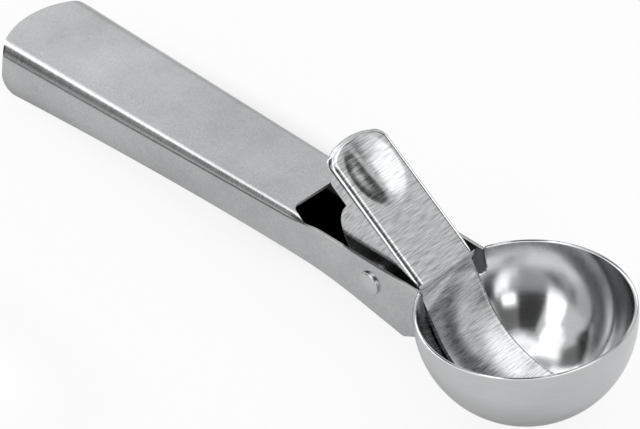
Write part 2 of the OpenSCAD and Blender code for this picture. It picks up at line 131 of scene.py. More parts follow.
NEVER_NOTHING = [0.011, 0.017, 0.013]
EDGE_GLOSS = 0.08
# The sheet's cut faces are rougher, and they are painted darker as shade.
CUT_FACE = (0.93, 0.99)
CUT_ROUGH = 0.3
BAND_SCALE = (0.3, 0.5)
BAND_TINT = 0.10
MOTTLE = 0.45
HAIRLINE_GAP = 0.25
HAIRLINE_LENGTH = 9.0
HAIRLINE_LEVELS = (0.26, 0.31)
HAIRLINE_ROUGH = 0.3
SCRAPE_FADE = 3.0


def smooth(x, low, high):
    """Smooth step from 0 at low to 1 at high: 3t^2 - 2t^3."""
    t = np.clip((x - low) / (high - low), 0, 1)
    return t * t * (3 - 2 * t)


def tail_share(x):
    """Share of the way from the neck to the rear end, with a soft start: half of
    b + sqrt(b^2 + start^2), where b is the way back from the neck, over the whole way."""
    back = -NECK_X - x
    return 0.5 * (back + np.sqrt(back * back + FLARE_START ** 2)) / (HANDLE_LENGTH - NECK_X)


def half_width(x):
    """Half the handle's width, which grows in line with the tail share."""
    return (NECK_W + (TAIL_W - NECK_W) * tail_share(x)) / 2


def bend_radius(x):
    """Outer radius of the top bends, in line with the tail share. In front of the window it
    shrinks to the cheek's plain edge."""
    full = NECK_BEND_R + (TAIL_BEND_R - NECK_BEND_R) * tail_share(x)
    return full * (1 - BEND_LOSS * smooth(x, *BEND_FADE))


def bezier(p, c, q, t):
    """Quadratic curve from p to q that leaves and arrives along the lines to c."""
    t = t[:, None]
    return (1 - t) ** 2 * p + 2 * t * (1 - t) * c + t ** 2 * q


def meet(p, a, q, b):
    """Point where the line through p at angle a meets the line through q at angle b."""
    t = ((q[0] - p[0]) * math.sin(b) - (q[1] - p[1]) * math.cos(b)) / math.sin(b - a)
    return p + t * np.array([math.cos(a), math.sin(a)])


def arc(centre, radius, start, end, count):
    """Points of a circle's arc in the plane, from one angle to the other, in degrees."""
    t = np.radians(np.linspace(start, end, count))
    return np.asarray(centre) + radius * np.c_[np.cos(t), np.sin(t)]


def way_along(line):
    """Length of a polyline from its start to each of its points."""
    return np.r_[0, np.cumsum(np.linalg.norm(np.diff(line, axis=0), axis=1))]


def resample(line, shares):
    """Points of a polyline at the given shares of its length."""
    length = way_along(line)
    places = shares * length[-1]
    return np.stack([np.interp(places, length, line[:, k]) for k in range(line.shape[1])], -1)


def rear_x(y, z):
    """Where the rear end cuts the sheet at a place across and a height: the end is a circle seen
    from above, R - sqrt(R^2 - y^2), and leans back in line with the height."""
    lean_z = z - TAIL_TOP
    across = END_R - np.sqrt(END_R ** 2 - y * y)
    return -HANDLE_LENGTH + (across + lean_z * math.sin(END_LEAN)) / math.cos(END_LEAN)


def bend_rows(turns, side, shares):
    """Rows of the bend: y = w - r + r cos b, z = top - r + r sin b, from the rear to the window."""
    b = turns[:, None]
    front = WINDOW_X + WINDOW_R + BEND_PAST_WINDOW * np.cos(b)
    rear = np.full_like(front, -HANDLE_LENGTH)
    for _ in range(4):
        r = bend_radius(rear)
        rear = rear_x(half_width(rear) - r * (1 - np.cos(b)), top_z(rear) - r * (1 - np.sin(b)))
    x = rear + (front - rear) * shares
    r = bend_radius(x)
    y = half_width(x) - r * (1 - np.cos(b))
    return np.stack([x, side * y, top_z(x) - r * (1 - np.sin(b))], -1)


def top_rows(places, shares):
    """Rows of the flat top, from the rear to the window: y goes from bend to bend, and past the
    start p of a round corner the window's edge lies back by sqrt(R^2 - p^2)."""
    p = places[:, None]
    window_half = half_width(WINDOW_X) - bend_radius(WINDOW_X)
    past = np.clip(np.abs(p) * window_half - (window_half - WINDOW_R), 0, WINDOW_R)
    front = WINDOW_X + WINDOW_R - np.sqrt(WINDOW_R ** 2 - past ** 2)
    rear = np.full_like(front, -HANDLE_LENGTH)
    for _ in range(4):
        rear = rear_x(p * (half_width(rear) - bend_radius(rear)), top_z(rear))
    x = rear + (front - rear) * shares
    return np.stack([x, p * (half_width(x) - bend_radius(x)), top_z(x)], -1)


def seat_x(z):
    """Where a side wall meets the bowl's ball at a height: -sqrt(R^2 - w^2 - (z + rise)^2)."""
    return -np.sqrt(BOWL_SEAT_R ** 2 - (NECK_W / 2) ** 2 - (z + RIM_RISE) ** 2)


def cheek_borders(columns):
    """A side wall's top, lower edge, rear end and front end, as lines of x and z.

    The lower edge runs from the round foot over a dip, as two quadratic curves, to a straight
    stretch and a round corner. The front end goes on round that corner and up the bowl's ball."""
    first = bend_rows(np.array([0.0]), 1, np.linspace(0, 1, columns + 1))[0]
    x_free = np.linspace(first[-1, 0], seat_x(top_z(CHEEK_TOP_X)), 64)[1:]
    top = np.r_[first[:, [0, 2]], np.c_[x_free, top_z(x_free) - bend_radius(x_free)]]
    tail = np.array([FOOT[0], FOOT[1] - FOOT_R])
    straight = CHEEK_CORNER + CHEEK_EDGE_LENGTH * np.array([-1, math.tan(CHEEK_EDGE_ANGLE)])
    t = np.linspace(0, 1, 60)
    into_dip = bezier(tail, meet(tail, TAIL_EDGE_ANGLE, DIP, DIP_ANGLE), DIP, t)
    out_of_dip = bezier(DIP, meet(DIP, DIP_ANGLE, straight, -CHEEK_EDGE_ANGLE), straight, t)[1:]
    turn = (CHEEK_END_ANGLE + CHEEK_EDGE_ANGLE) / 2
    lean = (CHEEK_END_ANGLE - CHEEK_EDGE_ANGLE) / 2
    middle = CHEEK_CORNER + CHEEK_CORNER_R / math.cos(turn) * np.array([-math.sin(lean), math.cos(lean)])
    knee = 270 - math.degrees(CHEEK_EDGE_ANGLE)
    split, last = knee + CHEEK_CORNER_SPLIT, knee + 2 * math.degrees(turn)
    lower = np.concatenate([arc(FOOT, FOOT_R, 225, 268, 8), into_dip, out_of_dip,
                            arc(middle, CHEEK_CORNER_R, knee, split, 6)])
    z_seat = np.linspace(CHEEK_SEAT_LOW, top[-1, 1], 40)
    front = np.concatenate([arc(middle, CHEEK_CORNER_R, split, last, 6), np.c_[seat_x(z_seat), z_seat]])
    z_rear = np.linspace(FOOT[1], top[0, 1], 30)[1:]
    x_rear = np.maximum(rear_x(half_width(top[0, 0]), z_rear), FOOT[0] - FOOT_R)
    rear = np.concatenate([arc(FOOT, FOOT_R, 225, 180, 8), np.c_[x_rear, z_rear]])
    rear[-1] = top[0]
    return top, lower, rear, front


def cheek_side(columns, rows, side):
    """Side wall as a Coons patch: the passage from lower edge to top, plus the passage from rear
    to front end, less the one between the four corners."""
    top, lower, rear, front = cheek_borders(columns)
    length = way_along(top)
    u = length / length[-1]
    v = np.linspace(0, 1, rows)
    bottom = resample(lower, u)
    rear, front = resample(rear, v), resample(front, v)
    u, v = u[None, :, None], v[:, None, None]
    patch = ((1 - v) * bottom[None] + v * top[None] + (1 - u) * rear[:, None] + u * front[:, None]
             - (1 - u) * (1 - v) * bottom[0] - u * (1 - v) * bottom[-1]
             - (1 - u) * v * top[0] - u * v * top[-1])
    return np.stack([patch[..., 0], side * half_width(patch[..., 0]), patch[..., 1]], -1)


def across_lines(grid, flow, lead):
    """Direction square to the grinding lines: the way on the surface along which the second flow
    coordinate f stays the same, f_v P_u - f_u P_v, turned to agree with the lead or the columns.
    A small fixed part is added, so that it is never nothing and never square to the surface."""
    along_rows, along_columns = np.gradient(grid, axis=0), np.gradient(grid, axis=1)
    f_rows, f_columns = np.gradient(flow[..., 1:2], axis=0), np.gradient(flow[..., 1:2], axis=1)
    way = f_columns * along_rows - f_rows * along_columns
    guide = 0.2 * along_rows + along_columns if lead is None else np.asarray(lead)
    way *= np.where((way * guide).sum(-1, keepdims=True) < 0, -1, 1)
    way /= np.maximum(np.linalg.norm(way, axis=-1, keepdims=True), 1e-9)
    return (way + NEVER_NOTHING) @ TIP.T


def sheet(name, grids, thickness=0.0, edge_round=0.0, cut=None, lead=None, finishes=()):
    """One mesh of several grids of points. Grids that share border points are welded there.

    Each grid is (points, flow, flip): rows x columns x 3 in mm, the same for the finish's own
    coordinates, and whether its faces turn over. A thickness goes to the side away from the faces'
    fronts, a cut takes a closed mesh out, and edge_round rounds the sheet's edges. Of two finishes
    the first is for the faces' fronts and cut edges, and the second for the inside.
    """
    points, flows, ways, quads, base = [], [], [], [], 0
    for grid, flow, flip in grids:
        m, n = grid.shape[:2]
        index = base + np.arange(m * n).reshape(m, n)
        faces = np.stack([index[:-1, :-1], index[:-1, 1:], index[1:, 1:], index[1:, :-1]], -1)
        quads.append((faces[..., ::-1] if flip else faces).reshape(-1, 4))
        points.append(stand(grid.reshape(-1, 3)))
        flows.append(flow.reshape(-1, 3))
        ways.append(across_lines(grid, flow, lead).reshape(-1, 3))
        base += m * n
    mesh = bpy.data.meshes.new(name)
    for finish in finishes:
        mesh.materials.append(finish)
    mesh.from_pydata(np.concatenate(points).tolist(), [], np.concatenate(quads).tolist())
    for label, values in (("flow", flows), ("across_lines", ways)):
        attribute = mesh.attributes.new(label, "FLOAT_VECTOR", "POINT")
        attribute.data.foreach_set("vector", np.concatenate(values).astype(np.float32).ravel())
    bm = bmesh.new()
    bm.from_mesh(mesh)
    bmesh.ops.remove_doubles(bm, verts=bm.verts, dist=SAME_POINT)
    bmesh.ops.dissolve_degenerate(bm, edges=bm.edges, dist=NO_LENGTH)
    if not thickness:
        bmesh.ops.recalc_face_normals(bm, faces=bm.faces)
    bm.to_mesh(mesh)
    bm.free()
    mesh.polygons.foreach_set("use_smooth", np.ones(len(mesh.polygons), bool))
    piece = bpy.data.objects.new(name, mesh)
    bpy.context.scene.collection.objects.link(piece)
    if thickness:
        wall = piece.modifiers.new("wall", "SOLIDIFY")
        wall.thickness = thickness / 1000
        wall.offset = -1
        wall.material_offset = max(len(finishes) - 1, 0)
    if cut:
        hole = piece.modifiers.new("hole", "BOOLEAN")
        hole.object = cut
        hole.solver = "EXACT"
    if edge_round:
        rounding = piece.modifiers.new("rounding", "BEVEL")
        rounding.width = edge_round / 1000
        rounding.segments = 2
        rounding.limit_method = "ANGLE"
        rounding.angle_limit = math.radians(ROUNDED_ABOVE)
    if piece.modifiers:
        graph = bpy.context.evaluated_depsgraph_get()
        done = bpy.data.meshes.new_from_object(piece.evaluated_get(graph))
        piece.modifiers.clear()
        piece.data = done
        bpy.data.meshes.remove(mesh)
        done.name = name
    piece.data.set_sharp_from_angle(angle=math.radians(SHARP_ABOVE))
    return piece


def edge_nearness(points, borders, reach=0.7):
    """Wear of the edges: 1 at a free edge, falling off as exp(-distance / reach)."""
    flat = points.reshape(-1, 3)
    border = np.concatenate([b.reshape(-1, 3) for b in borders])
    square = (flat ** 2).sum(1)[:, None] + (border ** 2).sum(1)[None] - 2 * flat @ border.T
    return np.exp(-np.sqrt(np.maximum(square.min(1), 0)) / reach).reshape(points.shape[:-1])


def handle_grids():
    """The roof, which is near bend, top and far bend, and the two side walls. The finish's second
    coordinate is the way round the section, so the brushing runs across and down the walls."""
    columns = 190
    shares = np.linspace(0, 1, columns + 1)
    turns = np.radians(np.linspace(0, 90, 13))
    corner = np.sin(np.radians(np.linspace(0, 90, 10)))
    flat = np.r_[np.linspace(0, WINDOW_STRAIGHT, 9), WINDOW_STRAIGHT + (1 - WINDOW_STRAIGHT) * corner[1:]]
    places = np.r_[-flat[::-1], flat[1:]]
    near = bend_rows(turns, -1, shares)
    far = bend_rows(turns[::-1], 1, shares)
    roof = np.concatenate([near, top_rows(places, shares)[1:-1], far])
    walls = [cheek_side(columns, 26, side) for side in (-1, 1)]
    border = [w[0] for w in walls] + [w[:, 0] for w in walls] + [w[:, -1] for w in walls]
    border += [w[-1, columns:] for w in walls] + [roof[:, 0], roof[:, -1]]
    step = np.linalg.norm(np.diff(roof, axis=0), axis=-1)
    across = np.concatenate([np.zeros((1, step.shape[1])), np.cumsum(step, axis=0)])
    grids = [(roof, np.stack([roof[..., 0], across, edge_nearness(roof, border)], -1), False)]
    for wall, side in zip(walls, (-1, 1)):
        down = wall[..., 2] - wall[-1:, :, 2]
        down = -side * down + FAR_WALL_FLOW * (side > 0)
        grids.append((wall, np.stack([wall[..., 0], down, edge_nearness(wall, border)], -1), side > 0))
    return grids


def linear(hex_colour):
    """sRGB hex colour to linear RGBA: ((c + 0.055) / 1.055) ^ 2.4, or c / 12.92 where dark."""
    c = np.array([int(hex_colour[i:i + 2], 16) for i in (0, 2, 4)]) / 255
    return (*np.where(c > 0.04045, ((c + 0.055) / 1.055) ** 2.4, c / 12.92), 1.0)


def add(tree, kind, inputs=None, **settings):
    """Adds a node, sets it, and fills its inputs with values or links. A node given as an input is
    linked by its first output."""
    node = tree.nodes.new(kind)
    for key, value in settings.items():
        setattr(node, key, value)
    for key, value in (inputs or {}).items():
        if isinstance(value, bpy.types.Node):
            value = value.outputs[0]
        if isinstance(value, bpy.types.NodeSocket):
            tree.links.new(value, node.inputs[key])
        else:
            node.inputs[key].default_value = value
    return node


def steel(name, tint, rough, gap, length, groove, lines_rough, lines_tint, patch, patch_rough, patch_tint,
          grain=0.0, scratch=0.0, stretch=0.0, sheared_and_shaded=0.0, dull=0.0, dull_before=0.0):
    """Stainless steel, ground with abrasive along the piece's own flow.

    Lines of a given gap and length in mm, their groove in thousandths of a mm, tint the steel,
    roughen it and turn it a little, which frays what it mirrors. Wider and longer bands are lines
    pressed harder. Cloudy patches of a given size show where the belt pressed unevenly, the grain
    is a fine mottle, and scratches are a few long hairlines. Stretch draws the highlights out
    across the lines. Edges are worn smooth, and the cut face of the sheet is rough from the shears
    and painted darker as shade.
    Before a place along the flow's first coordinate the steel may be duller, where it scrapes."""
    material = bpy.data.materials.new(name)
    material.use_nodes = True
    tree = material.node_tree
    tree.nodes.clear()
    flow = add(tree, "ShaderNodeAttribute", attribute_name="flow").outputs["Vector"]
    along, _, edge = add(tree, "ShaderNodeSeparateXYZ", {0: flow}).outputs
    place = add(tree, "ShaderNodeTexCoord").outputs["Object"]

    def pattern(vector, scale, detail):
        """Noise around 0 whose features are 1 / scale of the vector's unit, along each axis."""
        scaled = add(tree, "ShaderNodeVectorMath", {0: vector, 1: scale}, operation="MULTIPLY")
        noise = add(tree, "ShaderNodeTexNoise", {"Vector": scaled, "Scale": 1.0, "Detail": detail,
                                                 "Roughness": 0.6})
        return add(tree, "ShaderNodeMath", {0: noise, 1: -0.5}, operation="ADD")

    def total(onto, *parts):
        """onto plus each source times its share."""
        for source, share in parts:
            if share:
                onto = add(tree, "ShaderNodeMath", {0: source, 1: share, 2: onto},
                           operation="MULTIPLY_ADD")
        return onto

    # An abrasive's real marks are under 0.1 mm wide. Lines, mottle and hairlines are drawn a few
    # times as wide, so that they show.
    lines = pattern(flow, (1 / gap, 1 / length, 0), 2.0)
    bands = pattern(flow, (BAND_SCALE[0] / gap, BAND_SCALE[1] / length, 0), 1.0)
    clouds = pattern(place, (1000 / patch,) * 3, 4.0)
    mottle = pattern(place, (1000 / MOTTLE,) * 3, 1.0)
    low, high = HAIRLINE_LEVELS
    hairline = add(tree, "ShaderNodeMapRange", {
        0: pattern(flow, (1 / HAIRLINE_GAP, 1 / HAIRLINE_LENGTH, 0), 0.0), 1: low, 2: high})
    scraped = add(tree, "ShaderNodeMapRange", {
        0: along, 1: dull_before - SCRAPE_FADE, 2: dull_before, 3: 1.0, 4: 0.0})
    cut_face = add(tree, "ShaderNodeMapRange", {0: edge, 1: CUT_FACE[0], 2: CUT_FACE[1]})
    roughness = total(rough, (lines, lines_rough), (bands, lines_rough), (clouds, patch_rough),
                      (edge, -EDGE_GLOSS), (hairline, scratch * HAIRLINE_ROUGH),
                      (cut_face, sheared_and_shaded * CUT_ROUGH), (scraped, dull))
    # The cut face is painted darker as shade.
    shade = total(1.0, (lines, lines_tint), (bands, lines_tint * BAND_TINT), (clouds, patch_tint),
                  (mottle, grain), (hairline, scratch), (cut_face, -sheared_and_shaded))
    colour = add(tree, "ShaderNodeVectorMath", {0: linear(tint)[:3], "Scale": shade}, operation="SCALE")
    height = total(0.0, (lines, 1.0), (bands, 0.6), (hairline, 0.3))
    bump = add(tree, "ShaderNodeBump", {"Strength": 1.0, "Distance": groove / 1e6, "Height": height})
    shader = add(tree, "ShaderNodeBsdfPrincipled", {
        "Base Color": colour, "Metallic": 1.0, "Roughness": roughness, "Normal": bump,
        "Anisotropic": stretch})
    if stretch:
        way = add(tree, "ShaderNodeAttribute", attribute_name="across_lines").outputs["Vector"]
        tree.links.new(way, shader.inputs["Tangent"])
    add(tree, "ShaderNodeOutputMaterial", {"Surface": shader})
    return material


def finish_piece(piece, material, body, slot, *nodes):
    """Gives a piece its material if it has none and its body, and hides the solids that it stands for.
    The record's slot is not used. A piece that bends between two bodies gets no body here."""
    if not piece.data.materials:
        piece.data.materials.append(material)
    if body:
        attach(piece, body)
    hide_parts(*nodes)


# Brushed on a fine belt after pressing: short lines across, a silky sheen stretched along the
# handle, a fine sparkle, and broad clouds where the belt pressed unevenly.
# Its cut edges are rough and painted a little darker as shade.
handle_finish = steel("satin_brushed_handle", HANDLE_TINT, 0.23, 0.3, 5.0, 16.0, lines_rough=0.10,
                      lines_tint=0.10, patch=26, patch_rough=0.16, patch_tint=0.60, grain=0.40,
                      scratch=0.06, stretch=0.4, sheared_and_shaded=0.2)

# Left as it was rolled at the mill: dull and even, with a darker colour painted as shade inside the
# channel, so the inside stays dark and mirrors little.
shaded_inside_finish = steel("as_rolled_inside_painted_shade", INSIDE_TINT_AND_SHADE, 0.38, 0.5, 9.0, 6.0, lines_rough=0.08,
                      lines_tint=0.10, patch=14, patch_rough=0.10, patch_tint=0.30, grain=0.15)
handle_piece = sheet("handle_channel", handle_grids(), SHEET, EDGE_ROUND, lead=(1, 0, 0),
                     finishes=(handle_finish, shaded_inside_finish))
finish_piece(handle_piece, handle_finish, "frame", "handle_steel", "handle")

# --------------------------------------------------------------------------------------------- bowl
# Spun from 0.9 mm stainless sheet over a former, then polished in the lathe, so it keeps fine
# turning lines. The rim is rolled round, and a notch at the back lets the lever in.

BOWL_TINT = "CACBCC"
BOWL_WALL = 0.9
NOTCH_HALF = 10.15
NOTCH_DEPTH = 6.8
NOTCH_R = 1.2
NOTCH_LIP_R = 0.5
POLE_TILT = math.radians(17)
RIM_TURN = 75


def bowl_border():
    """Middle line of the wall's edge: the rim's circle, then the notch as a line of y and z with
    round corners, mirrored, whose x is -sqrt(r^2 - y^2 - z^2), so that it lies on the ball."""
    r = BOWL_R - BOWL_WALL / 2
    half = BOWL_WALL / 2
    rim_r = math.sqrt(r * r - (RIM_RISE - half) ** 2)
    turn = math.asin((NOTCH_HALF + half) / rim_r)
    rim = np.linspace(-math.pi + turn + 0.02, math.pi - turn - 0.02, 420)
    ring = np.c_[rim_r * np.cos(rim), rim_r * np.sin(rim), np.full(420, RIM_RISE - half)]
    y, low = NOTCH_HALF + half, RIM_RISE - NOTCH_DEPTH - half
    shape = np.concatenate([
        arc((y + NOTCH_LIP_R, RIM_RISE - half - NOTCH_LIP_R), NOTCH_LIP_R, 90, 180, 10),
        arc((y - NOTCH_R - half, low + NOTCH_R + half), NOTCH_R + half, 0, -90, 10),
    ])
    shape = np.concatenate([shape, (shape * [-1, 1])[::-1]])
    shape = resample(shape, np.linspace(0, 1, 170))
    notch = np.c_[-np.sqrt(r * r - (shape ** 2).sum(1)), shape]
    return np.concatenate([ring, notch])


def bowl_grid():
    """Wall as a closed section carried along its edge: inner face, round lip, outer face.

    Each face follows great circles from a pole low at the front to the edge, by the sines of the
    parts of the angle over the sine of the whole. The lip is nearly half a circle as thick as the
    wall, square to the edge."""
    edge = bowl_border()
    out = edge / np.linalg.norm(edge, axis=1)[:, None]
    way = np.roll(edge, -1, axis=0) - np.roll(edge, 1, axis=0)
    up = np.cross(way, out)
    up /= np.linalg.norm(up, axis=1)[:, None]
    pole = np.array([math.sin(POLE_TILT), 0, -math.cos(POLE_TILT)])
    angle = np.arccos(out @ pole)[:, None]
    t = np.linspace(0, 1, 78)[None, :]
    weight_pole = np.sin((1 - t) * angle) / np.sin(angle)
    weight_edge = np.sin(t * angle) / np.sin(angle)
    ball = weight_pole[..., None] * pole + weight_edge[..., None] * out[:, None]
    lip = np.radians(np.linspace(-RIM_TURN, RIM_TURN, 7))
    half = BOWL_WALL / 2
    middle = BOWL_R - half
    roll = (edge[:, None] + half * np.sin(lip)[None, :, None] * out[:, None]
            + half * np.cos(lip)[None, :, None] * up[:, None])
    points = np.concatenate([ball * (middle - half), roll, ball[:, ::-1] * (middle + half)], axis=1)
    return np.concatenate([points, points[:1]])


def bowl_flow(points):
    """Turning lines: way down the wall from the rim's axis, R arccos(z / |p|), and way round that
    axis, R times the azimuth."""
    around = np.arctan2(points[..., 1], points[..., 0])
    down = np.arccos(np.clip(points[..., 2] / np.linalg.norm(points, axis=-1), -1, 1))
    return BOWL_R * down, BOWL_R * around


bowl_points = bowl_grid()
bowl_wear = edge_nearness(bowl_points, [bowl_border()], 0.5)
bowl_coordinates = np.stack([*bowl_flow(bowl_points), bowl_wear], -1)

# Spun and polished: a near mirror, softened by fine turning lines that run round the bowl and smear
# what it mirrors down the wall.
bowl_finish = steel("spun_polished_bowl", BOWL_TINT, 0.14, 0.3, 25.0, 3.0, lines_rough=0.06,
                    lines_tint=0.16, patch=12, patch_rough=0.06, patch_tint=0.25, grain=0.05,
                    scratch=0.12, stretch=0.5)
bowl_piece = sheet("bowl_shell", [(bowl_points - [0, 0, RIM_RISE], bowl_coordinates, False)])
finish_piece(bowl_piece, bowl_finish, "frame", "bowl_steel", "bowl")

# -------------------------------------------------------------------------------------------- welds
# Two short beads run inside the corners between the cheeks and the bowl, laid by hand in small
# overlapping pools of the same steel, left bare and a little straw-coloured by the heat.

WELD_TINT = "A9A59D"
WELD_R = 1.1
WELD_LENGTH = 5.0
WELD_POOL = 0.55
WELD_SWELL = 0.07
WELD_RUN_OUT = 0.8
WELD_FILL = 0.93
WELD_SINK = 0.04
WELD_INSET = math.radians(1.5)


def weld_bead(side):
    """A wedge of a round bar bent about the ball's Y axis: its radius swells with each pool as
    1 + swell |sin| and runs out to nothing at both ends as the root of the distance."""
    seat = NECK_W / 2 - SHEET
    bend_r = math.sqrt(BOWL_SEAT_R ** 2 - seat ** 2)
    first = math.pi + math.asin((NOTCH_DEPTH - RIM_RISE) / bend_r) + WELD_INSET
    run = np.linspace(0, WELD_LENGTH, 90)[:, None]
    ends = np.clip(np.minimum(run, WELD_LENGTH - run) / WELD_RUN_OUT, 0, 1) ** 0.5
    pools = 1 + WELD_SWELL * np.abs(np.sin(math.pi * run / WELD_POOL))
    wedge = math.acos(seat / BOWL_SEAT_R) + WELD_SINK
    turn = np.r_[0, np.linspace(0, wedge, 12), 0][None]
    reach = WELD_R * WELD_FILL * ends * pools * np.r_[0, np.ones(12), 0][None]
    out = bend_r + reach * np.cos(turn)
    y = side * (seat - reach * np.sin(turn)) + 0 * run
    angle = first + run / bend_r
    points = np.stack([out * np.cos(angle), y, out * np.sin(angle) - RIM_RISE], -1)
    flow = np.stack([run + 0 * y, reach * turn, 1 - ends + 0 * y], -1)
    return [(points, flow, False)]


# Bare weld metal, neither ground nor polished: rough, blotched and warm in tone, so it reads as a
# matt seam in the corner of the bright sheets.
weld_finish = steel("bare_weld_bead", WELD_TINT, 0.34, 0.3, 1.2, 6.0, lines_rough=0.15, lines_tint=0.2,
                    patch=2.5, patch_rough=0.15, patch_tint=0.35)
for node, side in (("near_weld", -1), ("far_weld", 1)):
    finish_piece(sheet(f"{node}_bead", weld_bead(side)), weld_finish, "frame", "weld_metal", node)

# -------------------------------------------------------------------------------------------- lever
# One pressing of 0.8 mm stainless sheet: a thumb plate with a shallow recess and turned-down sides,
# two ears that turn on the rivet, and past a straight crease a dished blade that lies in the bowl.
# It is brushed across on a belt, and the blade, which scrapes the ice cream, is duller.

LEVER_TINT = "C6C7C8"
PLATE_ANGLE = math.radians(40.5)
PLATE_OFFSET = 16.0
PLATE_HALF = 8.7
PLATE_BEND_R = 1.6
PLATE_END_R = 14.0
PLATE_CORNER_R = 4.0
BLADE_R = 23.4
BLADE_HALF = 8.75
BLADE_SIDE = -0.95
SETTLED = 1.6
PLATE_FAR = 0.8
PLATE_FAR_DEPTHS = (2.0, 5.5)
BLADE_TIP_LEAN = math.radians(6)
BLADE_ROLL = (0.9, 0.22)
CREASE_R = 4.0
RIDGE_R = 60.0
RIDGE = 19.2
FLANGE = 4.7
LIP = 2.4
FLANGE_TO_LIP = (-2.2, 0.5)
SOLID_RIDGE = 20.4705
PLATE_END = SOLID_RIDGE + 36.8
PIVOT = np.array([-39.2, -6.1])
EAR = np.array([[SOLID_RIDGE + 15, 5.3, 8.8], [27.144, 12.575, 5.2], [18.53, 2.6, 2.2]])
RECESS = (47.4, 0.2, 10.8, 7.2, 1.15)
RIVET_R = 1.5
PIVOT_FIT = 0.05
SLEEVE_WALL = 0.75
SLEEVE_R = RIVET_R + PIVOT_FIT + SLEEVE_WALL
CUT_HALF = 12


def from_plate(along, y, height):
    """Place along the thumb plate, across it and above it, to the rim frame: turned about Y by
    the plate's angle, at the plate's distance from the ball's centre."""
    c, s = math.cos(PLATE_ANGLE), math.sin(PLATE_ANGLE)
    level = PLATE_OFFSET - height
    return np.stack([-along * c - level * s, y + 0 * along, along * s - level * c - RIM_RISE], -1)


def ear_depth(along):
    """Lower edge of a flange and its ear: the line that wraps the ear's three circles, as the
    least over all directions of (reach - along sin) / cos, or the flange's depth if that is more.
    EAR holds each circle's place along, its depth under the plate and its radius."""
    turn = np.radians(np.linspace(-89, 89, 720))[None]
    reach = (EAR[:, :1] * np.sin(turn) + EAR[:, 1:2] * np.cos(turn) + EAR[:, 2:]).max(0)[None]
    wrap = ((reach - along[:, None] * np.sin(turn)) / np.cos(turn)).min(1)
    inside = along <= EAR[0, 0] + EAR[0, 2]
    return np.where(inside, np.maximum(wrap, FLANGE), FLANGE)


def recess(along, y):
    """Height of the thumb recess: minus its depth times (1 - q)^2 inside the ellipse q = 1.
    RECESS holds the ellipse's middle, its half length and half width, and the depth."""
    a, b, la, lb, depth = RECESS
    q = ((along - a) / la) ** 2 + ((y - b) / lb) ** 2
    return -depth * np.clip(1 - q, 0, 1) ** 2


FLAT_HALF = PLATE_HALF - PLATE_BEND_R
across_flat = np.linspace(0, FLAT_HALF, 15)


def plate_side(side):
    """Half of the thumb plate: a section from its middle over a quarter-round bend to the flange's
    lower edge, carried along its outline from the ridge round the corner to the end's middle."""
    corner_half = PLATE_HALF - PLATE_CORNER_R
    end_centre = PLATE_END - PLATE_END_R
    back = math.sqrt((PLATE_END_R - PLATE_CORNER_R) ** 2 - corner_half ** 2)
    corner_at = end_centre + back
    sweep = math.degrees(math.asin(corner_half / (PLATE_END_R - PLATE_CORNER_R)))
    lobe = EAR[0, 0] + EAR[0, 2] * np.cos(np.radians(np.linspace(2, 60, 12)))
    straight = np.unique(np.r_[np.linspace(RIDGE, corner_at, 58), lobe, EAR[0, 0] + EAR[0, 2] + 0.02])
    corner_turn = np.linspace(90, sweep, 12)[1:]
    end_turn = np.linspace(sweep, 0, 14)[1:]
    corner = arc((corner_at, corner_half), PLATE_CORNER_R - PLATE_BEND_R, 90, sweep, 12)[1:]
    end = arc((end_centre, 0), PLATE_END_R - PLATE_BEND_R, sweep, 0, 14)[1:]
    line = np.concatenate([np.c_[straight, np.full_like(straight, FLAT_HALF)], corner, end])
    turn = np.radians(np.r_[np.full(len(straight), 90.0), corner_turn, end_turn])
    normal = np.c_[np.cos(turn), np.sin(turn)]
    centre = np.c_[np.minimum(line[:, 0], corner_at), 0 * line[:, 0]]
    t = (across_flat / FLAT_HALF)[None, :, None]
    flat = centre[:, None] + (line - centre)[:, None] * t
    b = np.radians(np.linspace(0, 90, 10))[None, 1:, None]
    bend = line[:, None] + normal[:, None] * PLATE_BEND_R * np.sin(b)
    drop = np.where(np.arange(len(line)) < len(straight), ear_depth(line[:, 0]), LIP)
    turning = smooth(line[:, 0] - corner_at, *FLANGE_TO_LIP)
    drop = LIP + (drop - LIP) * (1 - turning)
    hang = np.linspace(0, 1, 18)[None, 1:]
    wall = np.repeat((line + normal * PLATE_BEND_R)[:, None], hang.shape[1], axis=1)
    plan = np.concatenate([flat, bend, wall], axis=1)
    flat_height = recess(flat[..., 0], side * flat[..., 1])
    bend_height = np.broadcast_to(-PLATE_BEND_R * (1 - np.cos(b[..., 0])), bend.shape[:2])
    wall_height = -PLATE_BEND_R - hang * (drop - PLATE_BEND_R)[:, None]
    height = np.concatenate([flat_height, bend_height, wall_height], axis=1)
    return plan[..., 0], side * plan[..., 1] + fuller(side * plan[..., 1], height), height


def fuller(y, height):
    """How much fuller the plate is on its far side: in line with the place across up to the bend,
    and none at the depth of the ears."""
    return PLATE_FAR * np.clip(y / FLAT_HALF, 0, 1) * (1 - smooth(-height, *PLATE_FAR_DEPTHS))


